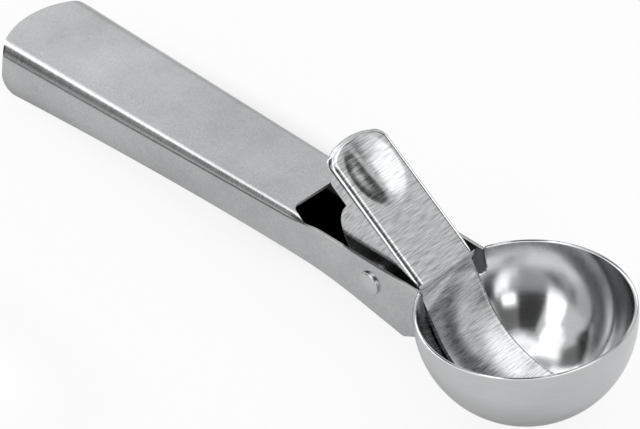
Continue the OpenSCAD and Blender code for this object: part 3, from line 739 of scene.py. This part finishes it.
def blade_rows():
    """Ridge and blade in the plate's frame, column by column across.

    Ridge: a tight arc turns the sheet down from a straight crease, and a wide arc carries it onto
    the ball. The tight arc's turn T solves D cos T + X sin T = Q, which makes the wide arc touch
    the ball's section. Blade: the ball itself, by angle along and place across, to a round tip,
    and its far edge rolls down as a parabola, by BLADE_ROLL's width and fall. Over the ridge the
    rows slide sideways, for the blade lies a little off the plate's middle."""
    t = np.r_[np.linspace(0, 1, 11), np.linspace(1, 2, 12)[1:]][:, None]
    share = np.linspace(0, 1, 90)[1:, None]
    outer = FLAT_HALF + (BLADE_HALF - FLAT_HALF) * np.sin(np.radians(np.linspace(0, 90, 12)))[1:]
    half = np.r_[across_flat, outer]
    y = np.r_[-half[:0:-1], half][None]
    settle = smooth(t, 0.0, SETTLED)
    on = y + BLADE_SIDE * np.r_[settle, 1 + 0 * share]
    section = np.sqrt(BLADE_R ** 2 - on[len(t) - 1:len(t)] ** 2)
    wide, deep = RIDGE_R - CREASE_R, PLATE_OFFSET + CREASE_R
    q = ((section + RIDGE_R) ** 2 - wide ** 2 - deep ** 2 - RIDGE ** 2) / (2 * wide)
    crease_turn = math.atan2(RIDGE, deep) - np.arccos(q / math.hypot(deep, RIDGE))
    ridge_turn = np.arctan2(RIDGE + wide * np.sin(crease_turn), deep + wide * np.cos(crease_turn))
    crease = crease_turn * np.minimum(t, 1)
    rest = crease_turn + (ridge_turn - crease_turn) * np.maximum(t - 1, 0)
    ridge_along = RIDGE - CREASE_R * np.sin(crease) - RIDGE_R * (np.sin(rest) - np.sin(crease_turn))
    drop = CREASE_R * (1 - np.cos(crease)) + RIDGE_R * (np.cos(crease_turn) - np.cos(rest))
    tip = PLATE_ANGLE + BLADE_TIP_LEAN
    end = -(tip + np.arcsin(np.sqrt(np.maximum(BLADE_HALF ** 2 - y * y, 0)) / section))
    alpha = ridge_turn + (end - ridge_turn) * share
    width, fall = BLADE_ROLL
    roll = fall * np.clip((y - BLADE_HALF + width) / width, 0, 1) ** 2
    radius = section + roll
    along = np.concatenate([ridge_along, radius * np.sin(alpha)])
    height = np.concatenate([-drop - roll * settle, PLATE_OFFSET - radius * np.cos(alpha)])
    full = np.r_[1 - smooth(t, 0.0, 1.0), 0 * share]
    return along, on + full * fuller(y, 0.0), height


def lever_grids():
    """Both halves of the thumb plate, and the blade. The finish's first coordinate runs along the
    lever and the second across it and down the flanges."""
    halves = [plate_side(side) for side in (-1, 1)]
    along, y, height = blade_rows()
    blade = from_plate(along, y, height)
    plates = [from_plate(*half) for half in halves]
    border = [p[:, -1] for p in plates] + [p[0, len(across_flat) - 1:] for p in plates]
    border += [blade[:, 0], blade[:, -1], blade[-1]]
    grids = []
    for points, (a, across, h), side in zip(plates, halves, (-1, 1)):
        flow = np.stack([a, across + h * side * -1, edge_nearness(points, border, 0.6)], -1)
        grids.append((points, flow, side < 0))
    grids.append((blade, np.stack([along, y, edge_nearness(blade, border, 0.6)], -1), True))
    return grids


def rod(radius, y_low, y_high, centre):
    """Closed round bar along Y, for cutting: two rings of r cos t and r sin t about its centre."""
    count = 64
    t = np.linspace(0, 2 * math.pi, count, endpoint=False)
    ring = np.c_[centre[0] + radius * np.cos(t), 0 * t, centre[1] + radius * np.sin(t)]
    ends = np.concatenate([ring + [0, y_low, 0], ring + [0, y_high, 0]])
    i = np.arange(count)
    j = (i + 1) % count
    sides = np.stack([i, i + count, j + count, j], -1).tolist()
    mesh = bpy.data.meshes.new("rod")
    mesh.from_pydata(stand(ends).tolist(), [], sides + [i.tolist(), (i[::-1] + count).tolist()])
    bar = bpy.data.objects.new("rod", mesh)
    bpy.context.scene.collection.objects.link(bar)
    return bar


plate_way = from_plate(1.0, 0.0, 0.0) - from_plate(0.0, 0.0, 0.0)

# Brushed across on a coarse belt: clear streaks a few mm long that break up what the steel mirrors
# into light and dark, the sheen stretched along the lever, and rough cut edges painted dark as shade.
lever_finish = steel("belt_brushed_lever", LEVER_TINT, 0.18, 0.27, 4.5, 4.0, lines_rough=0.18,
                     lines_tint=1.9, patch=9, patch_rough=0.06, patch_tint=0.12, stretch=0.6,
                     sheared_and_shaded=0.7, dull=0.10, dull_before=RIDGE)
pivot_cut = rod(SLEEVE_R + PIVOT_FIT, -CUT_HALF, CUT_HALF, PIVOT)
lever_piece = sheet("lever_pressing", lever_grids(), SHEET, EDGE_ROUND, cut=pivot_cut, lead=plate_way)
bpy.data.objects.remove(pivot_cut)
finish_piece(lever_piece, lever_finish, "lever", "lever_steel", "lever")

# -------------------------------------------------------------------------------------- pivot rivet
# A stainless rivet headed cold from wire: a low crowned head on the near cheek, a plain shank
# through cheeks and sleeve, and a tail peened over its washer on the far side.

RIVET_TINT = "C8C9CA"
HEAD_R = 3.0
HEAD_H = 1.05
HEAD_WALL = 0.4
HEAD_ROUND = 0.4
TAIL_R = 2.4
TAIL_H = 0.9
TAIL_POWER = 2.4
TAIL_DENT = 0.12
TAIL_DENT_R = 0.8
TAIL_WASHER_T = 0.6
CORNER_TURN = math.radians(12)
EDGE_REACH = 0.25
SIDES_ROUND = 96


def turned(name, profile):
    """A profile of places along Y and radii r, turned once round the pivot as r cos a and r sin a.
    Edge wear is exp(-distance / reach) from each point where the profile turns over 12 degrees."""
    step = np.diff(profile, axis=0)
    length = way_along(profile)
    heading = np.unwrap(np.arctan2(step[:, 1], step[:, 0]))
    corners = length[1:-1][np.abs(np.diff(heading)) > CORNER_TURN]
    gap = np.abs(length[:, None] - corners[None]).min(1)
    angle = np.linspace(0, 2 * math.pi, SIDES_ROUND + 1)[None]
    y, r = profile[:, :1], profile[:, 1:]
    points = np.stack([PIVOT[0] + r * np.cos(angle), y + 0 * angle, PIVOT[1] + r * np.sin(angle)], -1)
    round_place = (1.0 + profile[:, 1].max()) * angle + 0 * y
    wear = np.exp(-gap / EDGE_REACH)[:, None] + 0 * angle
    return sheet(name, [(points, np.stack([length[:, None] + 0 * angle, round_place, wear], -1), False)])


def rivet_profile():
    """Head: crown as a shallow parabola, quarter-round shoulder and plain wall. Tail: a quarter of
    a superellipse, less a dent exp(-(r / dent r)^2) at its middle from the hammer."""
    seat = -NECK_W / 2
    crown_y = seat - HEAD_WALL - HEAD_ROUND
    r = np.linspace(0, HEAD_R - HEAD_ROUND, 14)
    crown = np.c_[crown_y - (HEAD_H - HEAD_WALL - HEAD_ROUND) * (1 - (r / r[-1]) ** 2), r]
    shoulder = arc((crown_y + HEAD_ROUND, r[-1]), HEAD_ROUND, 180, 90, 8)[1:]
    far = NECK_W / 2 + TAIL_WASHER_T
    t = np.linspace(0, math.pi / 2, 18)
    tail_r = TAIL_R * np.cos(t) ** (2 / TAIL_POWER)
    dent = TAIL_DENT * np.exp(-(tail_r / TAIL_DENT_R) ** 2)
    tail = np.c_[far + TAIL_H * np.sin(t) ** (2 / TAIL_POWER) - dent, tail_r]
    tail[-1, 1] = 0
    return np.concatenate([crown, shoulder, [[seat, HEAD_R], [seat, RIVET_R], [far, RIVET_R]], tail])


# Headed cold in a smooth die: bright, faintly clouded, with hardly a line in it, so the head shows
# as a soft light disc with a crisp rim.
rivet_finish = steel("cold_headed_rivet", RIVET_TINT, 0.24, 0.35, 3.0, 3.0, lines_rough=0.10,
                     lines_tint=0.10, patch=2.0, patch_rough=0.12, patch_tint=0.14)
rivet_piece = turned("pivot_rivet_turned", rivet_profile())
finish_piece(rivet_piece, rivet_finish, "frame", "rivet_steel", "pivot_rivet")

# ------------------------------------------------------------------------------------------ washers
# Punched from stainless strip: the punch rolls one edge over and leaves the other crisp. One lies
# under the rivet's tail, and one between each ear and its cheek, where it is polished by the ear.

WASHER_TINT = "B4B5B6"
TAIL_WASHER_R = 3.5
EAR_WASHER_R = 4.0
EAR_CLEARANCE = 0.3
EAR_WASHER_HOLE = SLEEVE_R + PIVOT_FIT
CHEEK_IN = NECK_W / 2 - SHEET
ROLLED_EDGE = 0.14
CRISP_EDGE = 0.05


def ring_profile(inner, outer, start, end, rolled, crisp):
    """Section of a ring as a closed line, its four corners as quarter arcs: rolled at the start
    side and crisp at the end side."""
    return np.concatenate([
        arc((end - crisp, inner + crisp), crisp, -90, 0, 5),
        arc((end - crisp, outer - crisp), crisp, 0, 90, 5),
        arc((start + rolled, outer - rolled), rolled, 90, 180, 7),
        arc((start + rolled, inner + rolled), rolled, 180, 270, 7),
        [[end - crisp, inner]],
    ])


# Punched and tumbled: a greyer, slightly matt disc with a rubbed rim.
washer_finish = steel("punched_washer", WASHER_TINT, 0.26, 0.3, 2.5, 3.0, lines_rough=0.12,
                      lines_tint=0.14, patch=1.6, patch_rough=0.12, patch_tint=0.16)
ear_washer_t = CHEEK_IN - PLATE_HALF - EAR_CLEARANCE
for node, outer, hole, y_out, thick in (
        ("tail_washer", TAIL_WASHER_R, RIVET_R + PIVOT_FIT, NECK_W / 2 + TAIL_WASHER_T, -TAIL_WASHER_T),
        ("near_ear_washer", EAR_WASHER_R, EAR_WASHER_HOLE, -CHEEK_IN, ear_washer_t),
        ("far_ear_washer", EAR_WASHER_R, EAR_WASHER_HOLE, CHEEK_IN, -ear_washer_t)):
    low_y, high_y = min(y_out, y_out + thick), max(y_out, y_out + thick)
    profile = ring_profile(hole, outer, low_y, high_y, ROLLED_EDGE, CRISP_EDGE)
    if thick < 0:
        profile = np.c_[low_y + high_y - profile[:, 0], profile[:, 1]]
    finish_piece(turned(f"{node}_ring", profile), washer_finish, "frame", "sleeve_steel", node)

# ------------------------------------------------------------------------------------- pivot sleeve
# A stainless tube on the rivet, faced to length on a lathe. It keeps the cheeks apart, carries the
# ears, and the spring's coil lies round it.

SLEEVE_TINT = "A6A7A8"
FACED_EDGE = 0.1

# Drawn and faced: plain grey with fine lines along the tube and a small chamfer that catches light.
sleeve_finish = steel("faced_tube", SLEEVE_TINT, 0.26, 0.25, 12.0, 3.0, lines_rough=0.12,
                      lines_tint=0.12, patch=5.0, patch_rough=0.10, patch_tint=0.12)
sleeve_line = ring_profile(RIVET_R + PIVOT_FIT, SLEEVE_R, -CHEEK_IN, CHEEK_IN, FACED_EDGE, FACED_EDGE)
sleeve_piece = turned("pivot_sleeve_tube", sleeve_line)
finish_piece(sleeve_piece, sleeve_finish, "frame", "sleeve_steel", "pivot_sleeve")

# ------------------------------------------------------------------------------------- return spring
# Torsion spring coiled cold from drawn stainless wire round the sleeve. One leg presses on the
# back of the bowl and the other under the thumb plate, and the coil winds up as the lever turns.

WIRE_TINT = "9B9B99"
WIRE_D = 0.8
COIL_IN_D = 5.8
COIL_TURNS = 4
COIL_SPACE = 0.1
LEG_TIP_ALONG = 12.5
LEG_TIP_DROP = 9.6
LEG_CLEARANCE = 0.1
WIRE_DOME = 0.12
WIRE_DOME_LEAST = 0.3
WIRE_END_WEAR = 0.3

coil_r = (COIL_IN_D + WIRE_D) / 2
bowl_reach = BOWL_R + WIRE_D / 2 + LEG_CLEARANCE
bowl_tip = np.array([-math.sqrt(bowl_reach ** 2 - (RIM_RISE - LEG_TIP_DROP) ** 2), -LEG_TIP_DROP])
plate_clear = SHEET + WIRE_D / 2 + LEG_CLEARANCE
lever_tip = from_plate(np.array([SOLID_RIDGE + LEG_TIP_ALONG]), 0, -plate_clear)[0, [0, 2]]


def leg_angle(tip, way):
    """Angle on the coil at which the straight to the tip leaves it as a tangent, either way round:
    the tip's own angle, more or less the arc cosine of coil radius over distance."""
    out = tip - PIVOT
    return math.atan2(out[1], out[0]) + way * math.acos(coil_r / np.linalg.norm(out))


bowl_angle = leg_angle(bowl_tip, 1)
lever_angle = leg_angle(lever_tip, -1) + 2 * math.pi * (COIL_TURNS + 1)
coil_width = (WIRE_D + COIL_SPACE) * (lever_angle - bowl_angle) / (2 * math.pi)


def spring_tube():
    """Round wire carried along its centre line: a straight leg, a coil whose place across grows
    with the angle, and the other leg. The wire's ends are domed by closing the last rings."""
    rings, sides = 560, 20
    a = np.linspace(bowl_angle, lever_angle, rings)
    across = coil_width * np.linspace(-0.5, 0.5, rings)
    coil = np.c_[PIVOT[0] + coil_r * np.cos(a), across, PIVOT[1] + coil_r * np.sin(a)]
    first = np.array([bowl_tip[0], -coil_width / 2, bowl_tip[1]])
    last = np.array([lever_tip[0], coil_width / 2, lever_tip[1]])
    share = np.linspace(0, 1, 40)[:, None]
    bowl_leg = first + (coil[0] - first) * share[:-1]
    lever_leg = coil[-1] + (last - coil[-1]) * share[1:]
    path = np.concatenate([bowl_leg, coil, lever_leg])
    tangent = np.gradient(path, axis=0)
    tangent /= np.linalg.norm(tangent, axis=1)[:, None]
    out = np.cross(tangent, [0, 1, 0])
    out /= np.linalg.norm(out, axis=1)[:, None]
    side = np.cross(out, tangent)
    length = way_along(path)
    end_gap = np.minimum(length, length[-1] - length)
    radius = WIRE_D / 2 * np.sqrt(1 - np.clip(1 - end_gap / WIRE_DOME, 0, 1) ** 2)
    radius = np.where(end_gap > 0, np.maximum(radius, WIRE_DOME_LEAST * WIRE_D), 0)
    t = np.linspace(0, 2 * math.pi, sides + 1)[None, :, None]
    ring = np.cos(t) * out[:, None] + np.sin(t) * side[:, None]
    points = path[:, None] + radius[:, None, None] * ring
    none = 0 * length[:, None] + 0 * t[..., 0]
    wear = np.exp(-end_gap / WIRE_END_WEAR)[:, None]
    flow = np.stack([WIRE_D / 2 * t[..., 0] + none, length[:, None] + none, wear + none], -1)
    return [(points, flow, False)]


# Drawn through a die: darker than the sheets, with long fine lines along the wire.
wire_finish = steel("drawn_spring_wire", WIRE_TINT, 0.24, 0.12, 8.0, 2.0, lines_rough=0.10,
                    lines_tint=0.14, patch=3.0, patch_rough=0.10, patch_tint=0.14)
spring = sheet("return_spring_wire", spring_tube())
finish_piece(spring, wire_finish, None, "spring_wire", "return_spring")
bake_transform(spring)

# -------------------------------------------------------------------------------- floor and studio
# A plain white table in a white studio. Bare steel shows what stands round it, so soft-edged cards,
# bright and dark, stand on all sides. A painted shadow darkens the table where the handle's window looks
# through.
# Lengths from here to the camera are in metres on the table.

TABLE_GREY = "D8D8D8"
TABLE_HALF = 3
CAMERA_GLOW = 0.9
METAL_GLOW = 0.12
FLAG_DARK = 0.93
FLAG_X = (-0.02, 0.03)
FLAG_Y = (-0.085, -0.055)
# Painted shadows on the table beside the neck and the handle: middle, half lengths, where the fade
# starts, level.
NECK_PAINTED_SHADOW = ((-0.0005, 0.0114), (0.029, 0.0140), 0.55, 0.0)
HANDLE_PAINTED_SHADOW = ((-0.016, 0.0125), (0.100, 0.0215), 0.15, 0.30)
corners = np.array([[[-1, -1, 0], [1, -1, 0]], [[-1, 1, 0], [1, 1, 0]]], float) * TABLE_HALF
floor_mesh = bpy.data.meshes.new("floor")
floor_mesh.from_pydata(corners.reshape(-1, 3).tolist(), [], [(0, 1, 3, 2)])
floor = bpy.data.objects.new("floor", floor_mesh)
bpy.context.scene.collection.objects.link(floor)


def painted_shadow_spot(tree, place, middle, halves, fade_from, level):
    """Painted shadow on the table about an ellipse: brightness at a level in the middle, passing
    smoothly to 1 at the edge from a share of the way. The way out is |(p - middle) / halves|, which is 1
    at the edge."""
    shifted = add(tree, "ShaderNodeVectorMath", {0: place, 1: (*middle, 0)}, operation="SUBTRACT")
    scaled = add(tree, "ShaderNodeVectorMath", {0: shifted, 1: (1 / halves[0], 1 / halves[1], 0)},
                 operation="MULTIPLY")
    way_out = add(tree, "ShaderNodeVectorMath", {0: scaled}, operation="LENGTH").outputs["Value"]
    return add(tree, "ShaderNodeMapRange", {0: way_out, 1: fade_from, 2: 1.0, 3: level, 4: 1.0},
               interpolation_type="SMOOTHSTEP")


def table_paper():
    """White paper that mostly glows for the camera and a little for the steel, so it stays white
    and still takes the scoop's shadow. Two painted shadows lie beside neck and handle, dark for the
    camera too. A dark flag lies on the near side towards the rear, which the steel mirrors and the camera
    doesn't see."""
    paper = bpy.data.materials.new("white_table")
    paper.use_nodes = True
    tree = paper.node_tree
    tree.nodes.clear()
    place = add(tree, "ShaderNodeTexCoord").outputs["Object"]
    x, y, _ = add(tree, "ShaderNodeSeparateXYZ", {0: place}).outputs
    ray = add(tree, "ShaderNodeLightPath").outputs
    # The painted shadows darken both the table's colour and its glow, so the camera sees them too.
    neck = painted_shadow_spot(tree, place, *NECK_PAINTED_SHADOW)
    handle = painted_shadow_spot(tree, place, *HANDLE_PAINTED_SHADOW)
    outside_painted_shadow = add(tree, "ShaderNodeMath", {0: neck, 1: handle}, operation="MULTIPLY")
    sides = [add(tree, "ShaderNodeMapRange", {0: way, 1: low, 2: high, 3: 1.0, 4: 0.0},
                 interpolation_type="SMOOTHSTEP") for way, (low, high) in ((y, FLAG_Y), (x, FLAG_X))]
    flag = add(tree, "ShaderNodeMath", dict(enumerate(sides)), operation="MULTIPLY")
    paleness = add(tree, "ShaderNodeMath", {0: flag, 1: -FLAG_DARK, 2: 1.0}, operation="MULTIPLY_ADD")
    bright = add(tree, "ShaderNodeMath", {0: outside_painted_shadow, 1: paleness}, operation="MULTIPLY")
    white = add(tree, "ShaderNodeVectorMath", {0: linear(TABLE_GREY)[:3], "Scale": bright},
                operation="SCALE")
    glows = []
    for seen, plain, flagged in (("Is Camera Ray", CAMERA_GLOW, 1.0), ("Is Glossy Ray", METAL_GLOW, 0.0)):
        level = add(tree, "ShaderNodeMath", {0: flag, 1: flagged - plain, 2: plain},
                    operation="MULTIPLY_ADD")
        glows.append(add(tree, "ShaderNodeMath", {0: ray[seen], 1: level}, operation="MULTIPLY"))
    glow = add(tree, "ShaderNodeMath", dict(enumerate(glows)), operation="ADD")
    share = add(tree, "ShaderNodeMath", {0: glow, 1: outside_painted_shadow}, operation="MULTIPLY")
    matt = add(tree, "ShaderNodeBsdfDiffuse", {"Color": white})
    lit = add(tree, "ShaderNodeEmission", {"Color": (1, 1, 1, 1), "Strength": 1.0})
    both = add(tree, "ShaderNodeMixShader", {0: share, 1: matt, 2: lit})
    add(tree, "ShaderNodeOutputMaterial", {"Surface": both})
    return paper


floor_mesh.materials.append(table_paper())

world = bpy.data.worlds.new("studio")
bpy.context.scene.world = world
world.use_nodes = True
tree = world.node_tree
tree.nodes.clear()
direction = add(tree, "ShaderNodeTexCoord").outputs["Generated"]
upward = add(tree, "ShaderNodeSeparateXYZ", {0: direction}).outputs[2]
radians_up = add(tree, "ShaderNodeMath", {0: upward}, operation="ARCSINE")
elevation = add(tree, "ShaderNodeMath", {0: radians_up, 1: math.degrees(1)}, operation="MULTIPLY")


def card(behind, level, azimuth, half_wide, low, high, soft, lean=0.0):
    """A soft-edged card of the studio, seen from the scoop: its level covers what is behind it.

    Angles are in degrees: azimuth from +X towards +Y, and lower and upper edge above the table.
    A leaning card's azimuth grows by lean for each degree above its middle. The cover is the
    smooth passage over each pair of edges, and the product of the two passages."""
    middle = -math.radians(azimuth - lean * (low + high) / 2)
    angle = add(tree, "ShaderNodeMath", {0: elevation, 1: -math.radians(lean), 2: middle},
                operation="MULTIPLY_ADD")
    ahead = add(tree, "ShaderNodeVectorRotate", {"Vector": direction, "Angle": angle},
                rotation_type="Z_AXIS")
    x, y, _ = add(tree, "ShaderNodeSeparateXYZ", {0: ahead}).outputs
    aside = add(tree, "ShaderNodeMath", {0: y, 1: x}, operation="ARCTAN2")
    aside = add(tree, "ShaderNodeMath", {0: aside, 1: math.degrees(1)}, operation="MULTIPLY")
    above = add(tree, "ShaderNodeMath", {0: elevation, 1: (low + high) / 2}, operation="SUBTRACT")
    covers = []
    for off, half in ((aside, half_wide), (above, (high - low) / 2)):
        off = add(tree, "ShaderNodeMath", {0: off}, operation="ABSOLUTE")
        covers.append(add(tree, "ShaderNodeMapRange", {
            0: off, 1: half - soft / 2, 2: half + soft / 2, 3: 1.0, 4: 0.0},
            interpolation_type="SMOOTHSTEP"))
    cover = add(tree, "ShaderNodeMath", dict(enumerate(covers)), operation="MULTIPLY")
    return add(tree, "ShaderNodeMix", {0: cover, 2: behind, 3: level})


# The wall brightens from the table up. Then each card covers the ones before it: level, azimuth,
# half width, lower edge, upper edge, softness and lean.
studio = add(tree, "ShaderNodeMapRange", {0: elevation, 1: 0, 2: 30, 3: 0.62, 4: 0.80},
             interpolation_type="SMOOTHSTEP")
for values in (
        # ceiling, dimmer overhead, and the bright or dim fields just under it
        (1.75, 0, 181, 67, 113, 8), (1.35, 0, 181, 77, 103, 8), (1.25, 168, 34, 58, 86, 14),
        (1.75, 75, 65, 59, 101, 6), (1.85, -124, 31, 54, 92, 8), (0.62, -165, 17, 58, 80, 8, 0.8),
        (1.65, -112, 20, 44, 58, 8, -1.0), (0.65, -74, 20, 58, 69, 6),
        # front: two dark gaps, a pale screen between them, a bright strip above and a dim one below
        (0.22, -36, 15, 36, 60, 6), (0.25, 41, 7, 24, 40, 8), (1.00, 10, 22, 22, 46, 6),
        (1.80, 22, 20, 50, 68, 6), (0.40, 15, 26, -6, 20, 6),
        # rear: a grey screen and a dark doorway on the near side, bright screens on the far side
        (0.80, -118, 18, 2, 42, 10), (0.22, -158, 19, 30, 52, 8), (0.03, -153, 22, -2, 34, 8),
        (1.10, 158, 14, 20, 44, 14), (1.80, 171, 19, 36, 58, 5), (3.30, 178, 13, 0, 35, 5),
        # far side: a leaning dark board over a low window
        (0.05, 74, 12, 24, 51, 7, 1.0), (2.50, 75, 16, 0, 24, 4),
        # near side: two dark boards, and a bright upright in two parts
        (0.06, -56, 17, 2, 62, 5), (0.20, -16, 8, 14, 62, 6), (2.10, -100, 14, 42, 65, 5),
        (2.25, -86, 12, 2, 46, 4, -0.3),
        # two small bright panels, one at the rear and one low at the front
        (3.00, 176, 10, 34, 45, 5), (2.60, -28, 8, 3, 33, 3)):
    studio = card(studio, *values)
ray = add(tree, "ShaderNodeLightPath").outputs
view = add(tree, "ShaderNodeMix", {0: ray["Is Camera Ray"], 2: studio, 3: 1.0})
sky = add(tree, "ShaderNodeBackground", {"Color": (1, 1, 1, 1), "Strength": view})
add(tree, "ShaderNodeOutputWorld", {"Surface": sky})

# A weak soft box overhead gives the table its shadow. The steel doesn't mirror it.
LAMP_TARGET = Vector((0.03, 0, 0.02))
LAMP_WAY = Vector((0.15, 0.25, 0.96)).normalized()
LAMP_DISTANCE = 0.9
LAMP_SIZE = 0.35
LAMP_WATTS = 1.0
light = bpy.data.lights.new("key_box", "AREA")
light.size = LAMP_SIZE
light.energy = LAMP_WATTS
box = bpy.data.objects.new("key_box", light)
box.location = LAMP_TARGET + LAMP_WAY * LAMP_DISTANCE
box.rotation_euler = LAMP_WAY.to_track_quat("Z", "Y").to_euler()
box.visible_glossy = False
bpy.context.scene.collection.objects.link(box)

# ------------------------------------------------------------------------------------------- camera
# Looks down on the scoop from the front, over the near cheek, through a long lens from 0.8 m.
# Its aim is a point in the rim frame, and its focal length is known in pixels of the picture.

AZIMUTH, ELEVATION, ROLL = map(math.radians, (49.67, 36.45, -6.36))
DISTANCE = 800.0
AIM = np.array([-67.04, 0, -5.97])
FOCAL_PIXELS = 3370.59
PICTURE_PIXELS = 640
SENSOR = 36
back = np.array([math.sin(AZIMUTH) * math.cos(ELEVATION),
                 -math.cos(AZIMUTH) * math.cos(ELEVATION), math.sin(ELEVATION)])
level = np.array([math.cos(AZIMUTH), math.sin(AZIMUTH), 0])
upright = np.cross(back, level)
right = math.cos(ROLL) * level + math.sin(ROLL) * upright
up = -math.sin(ROLL) * level + math.cos(ROLL) * upright
axes = Matrix((TIP @ np.stack([right, up, back], -1)).tolist())
camera_data = bpy.data.cameras.new("camera")
camera_data.sensor_width = SENSOR
camera_data.lens = FOCAL_PIXELS * SENSOR / PICTURE_PIXELS
camera_data.clip_start = 0.05
camera_data.clip_end = 20
camera = bpy.data.objects.new("camera", camera_data)
camera.matrix_world = Matrix.Translation(Vector(stand(AIM + back * DISTANCE))) @ axes.to_4x4()
bpy.context.scene.collection.objects.link(camera)
bpy.context.scene.camera = camera
bpy.context.scene.view_settings.view_transform = "Standard"
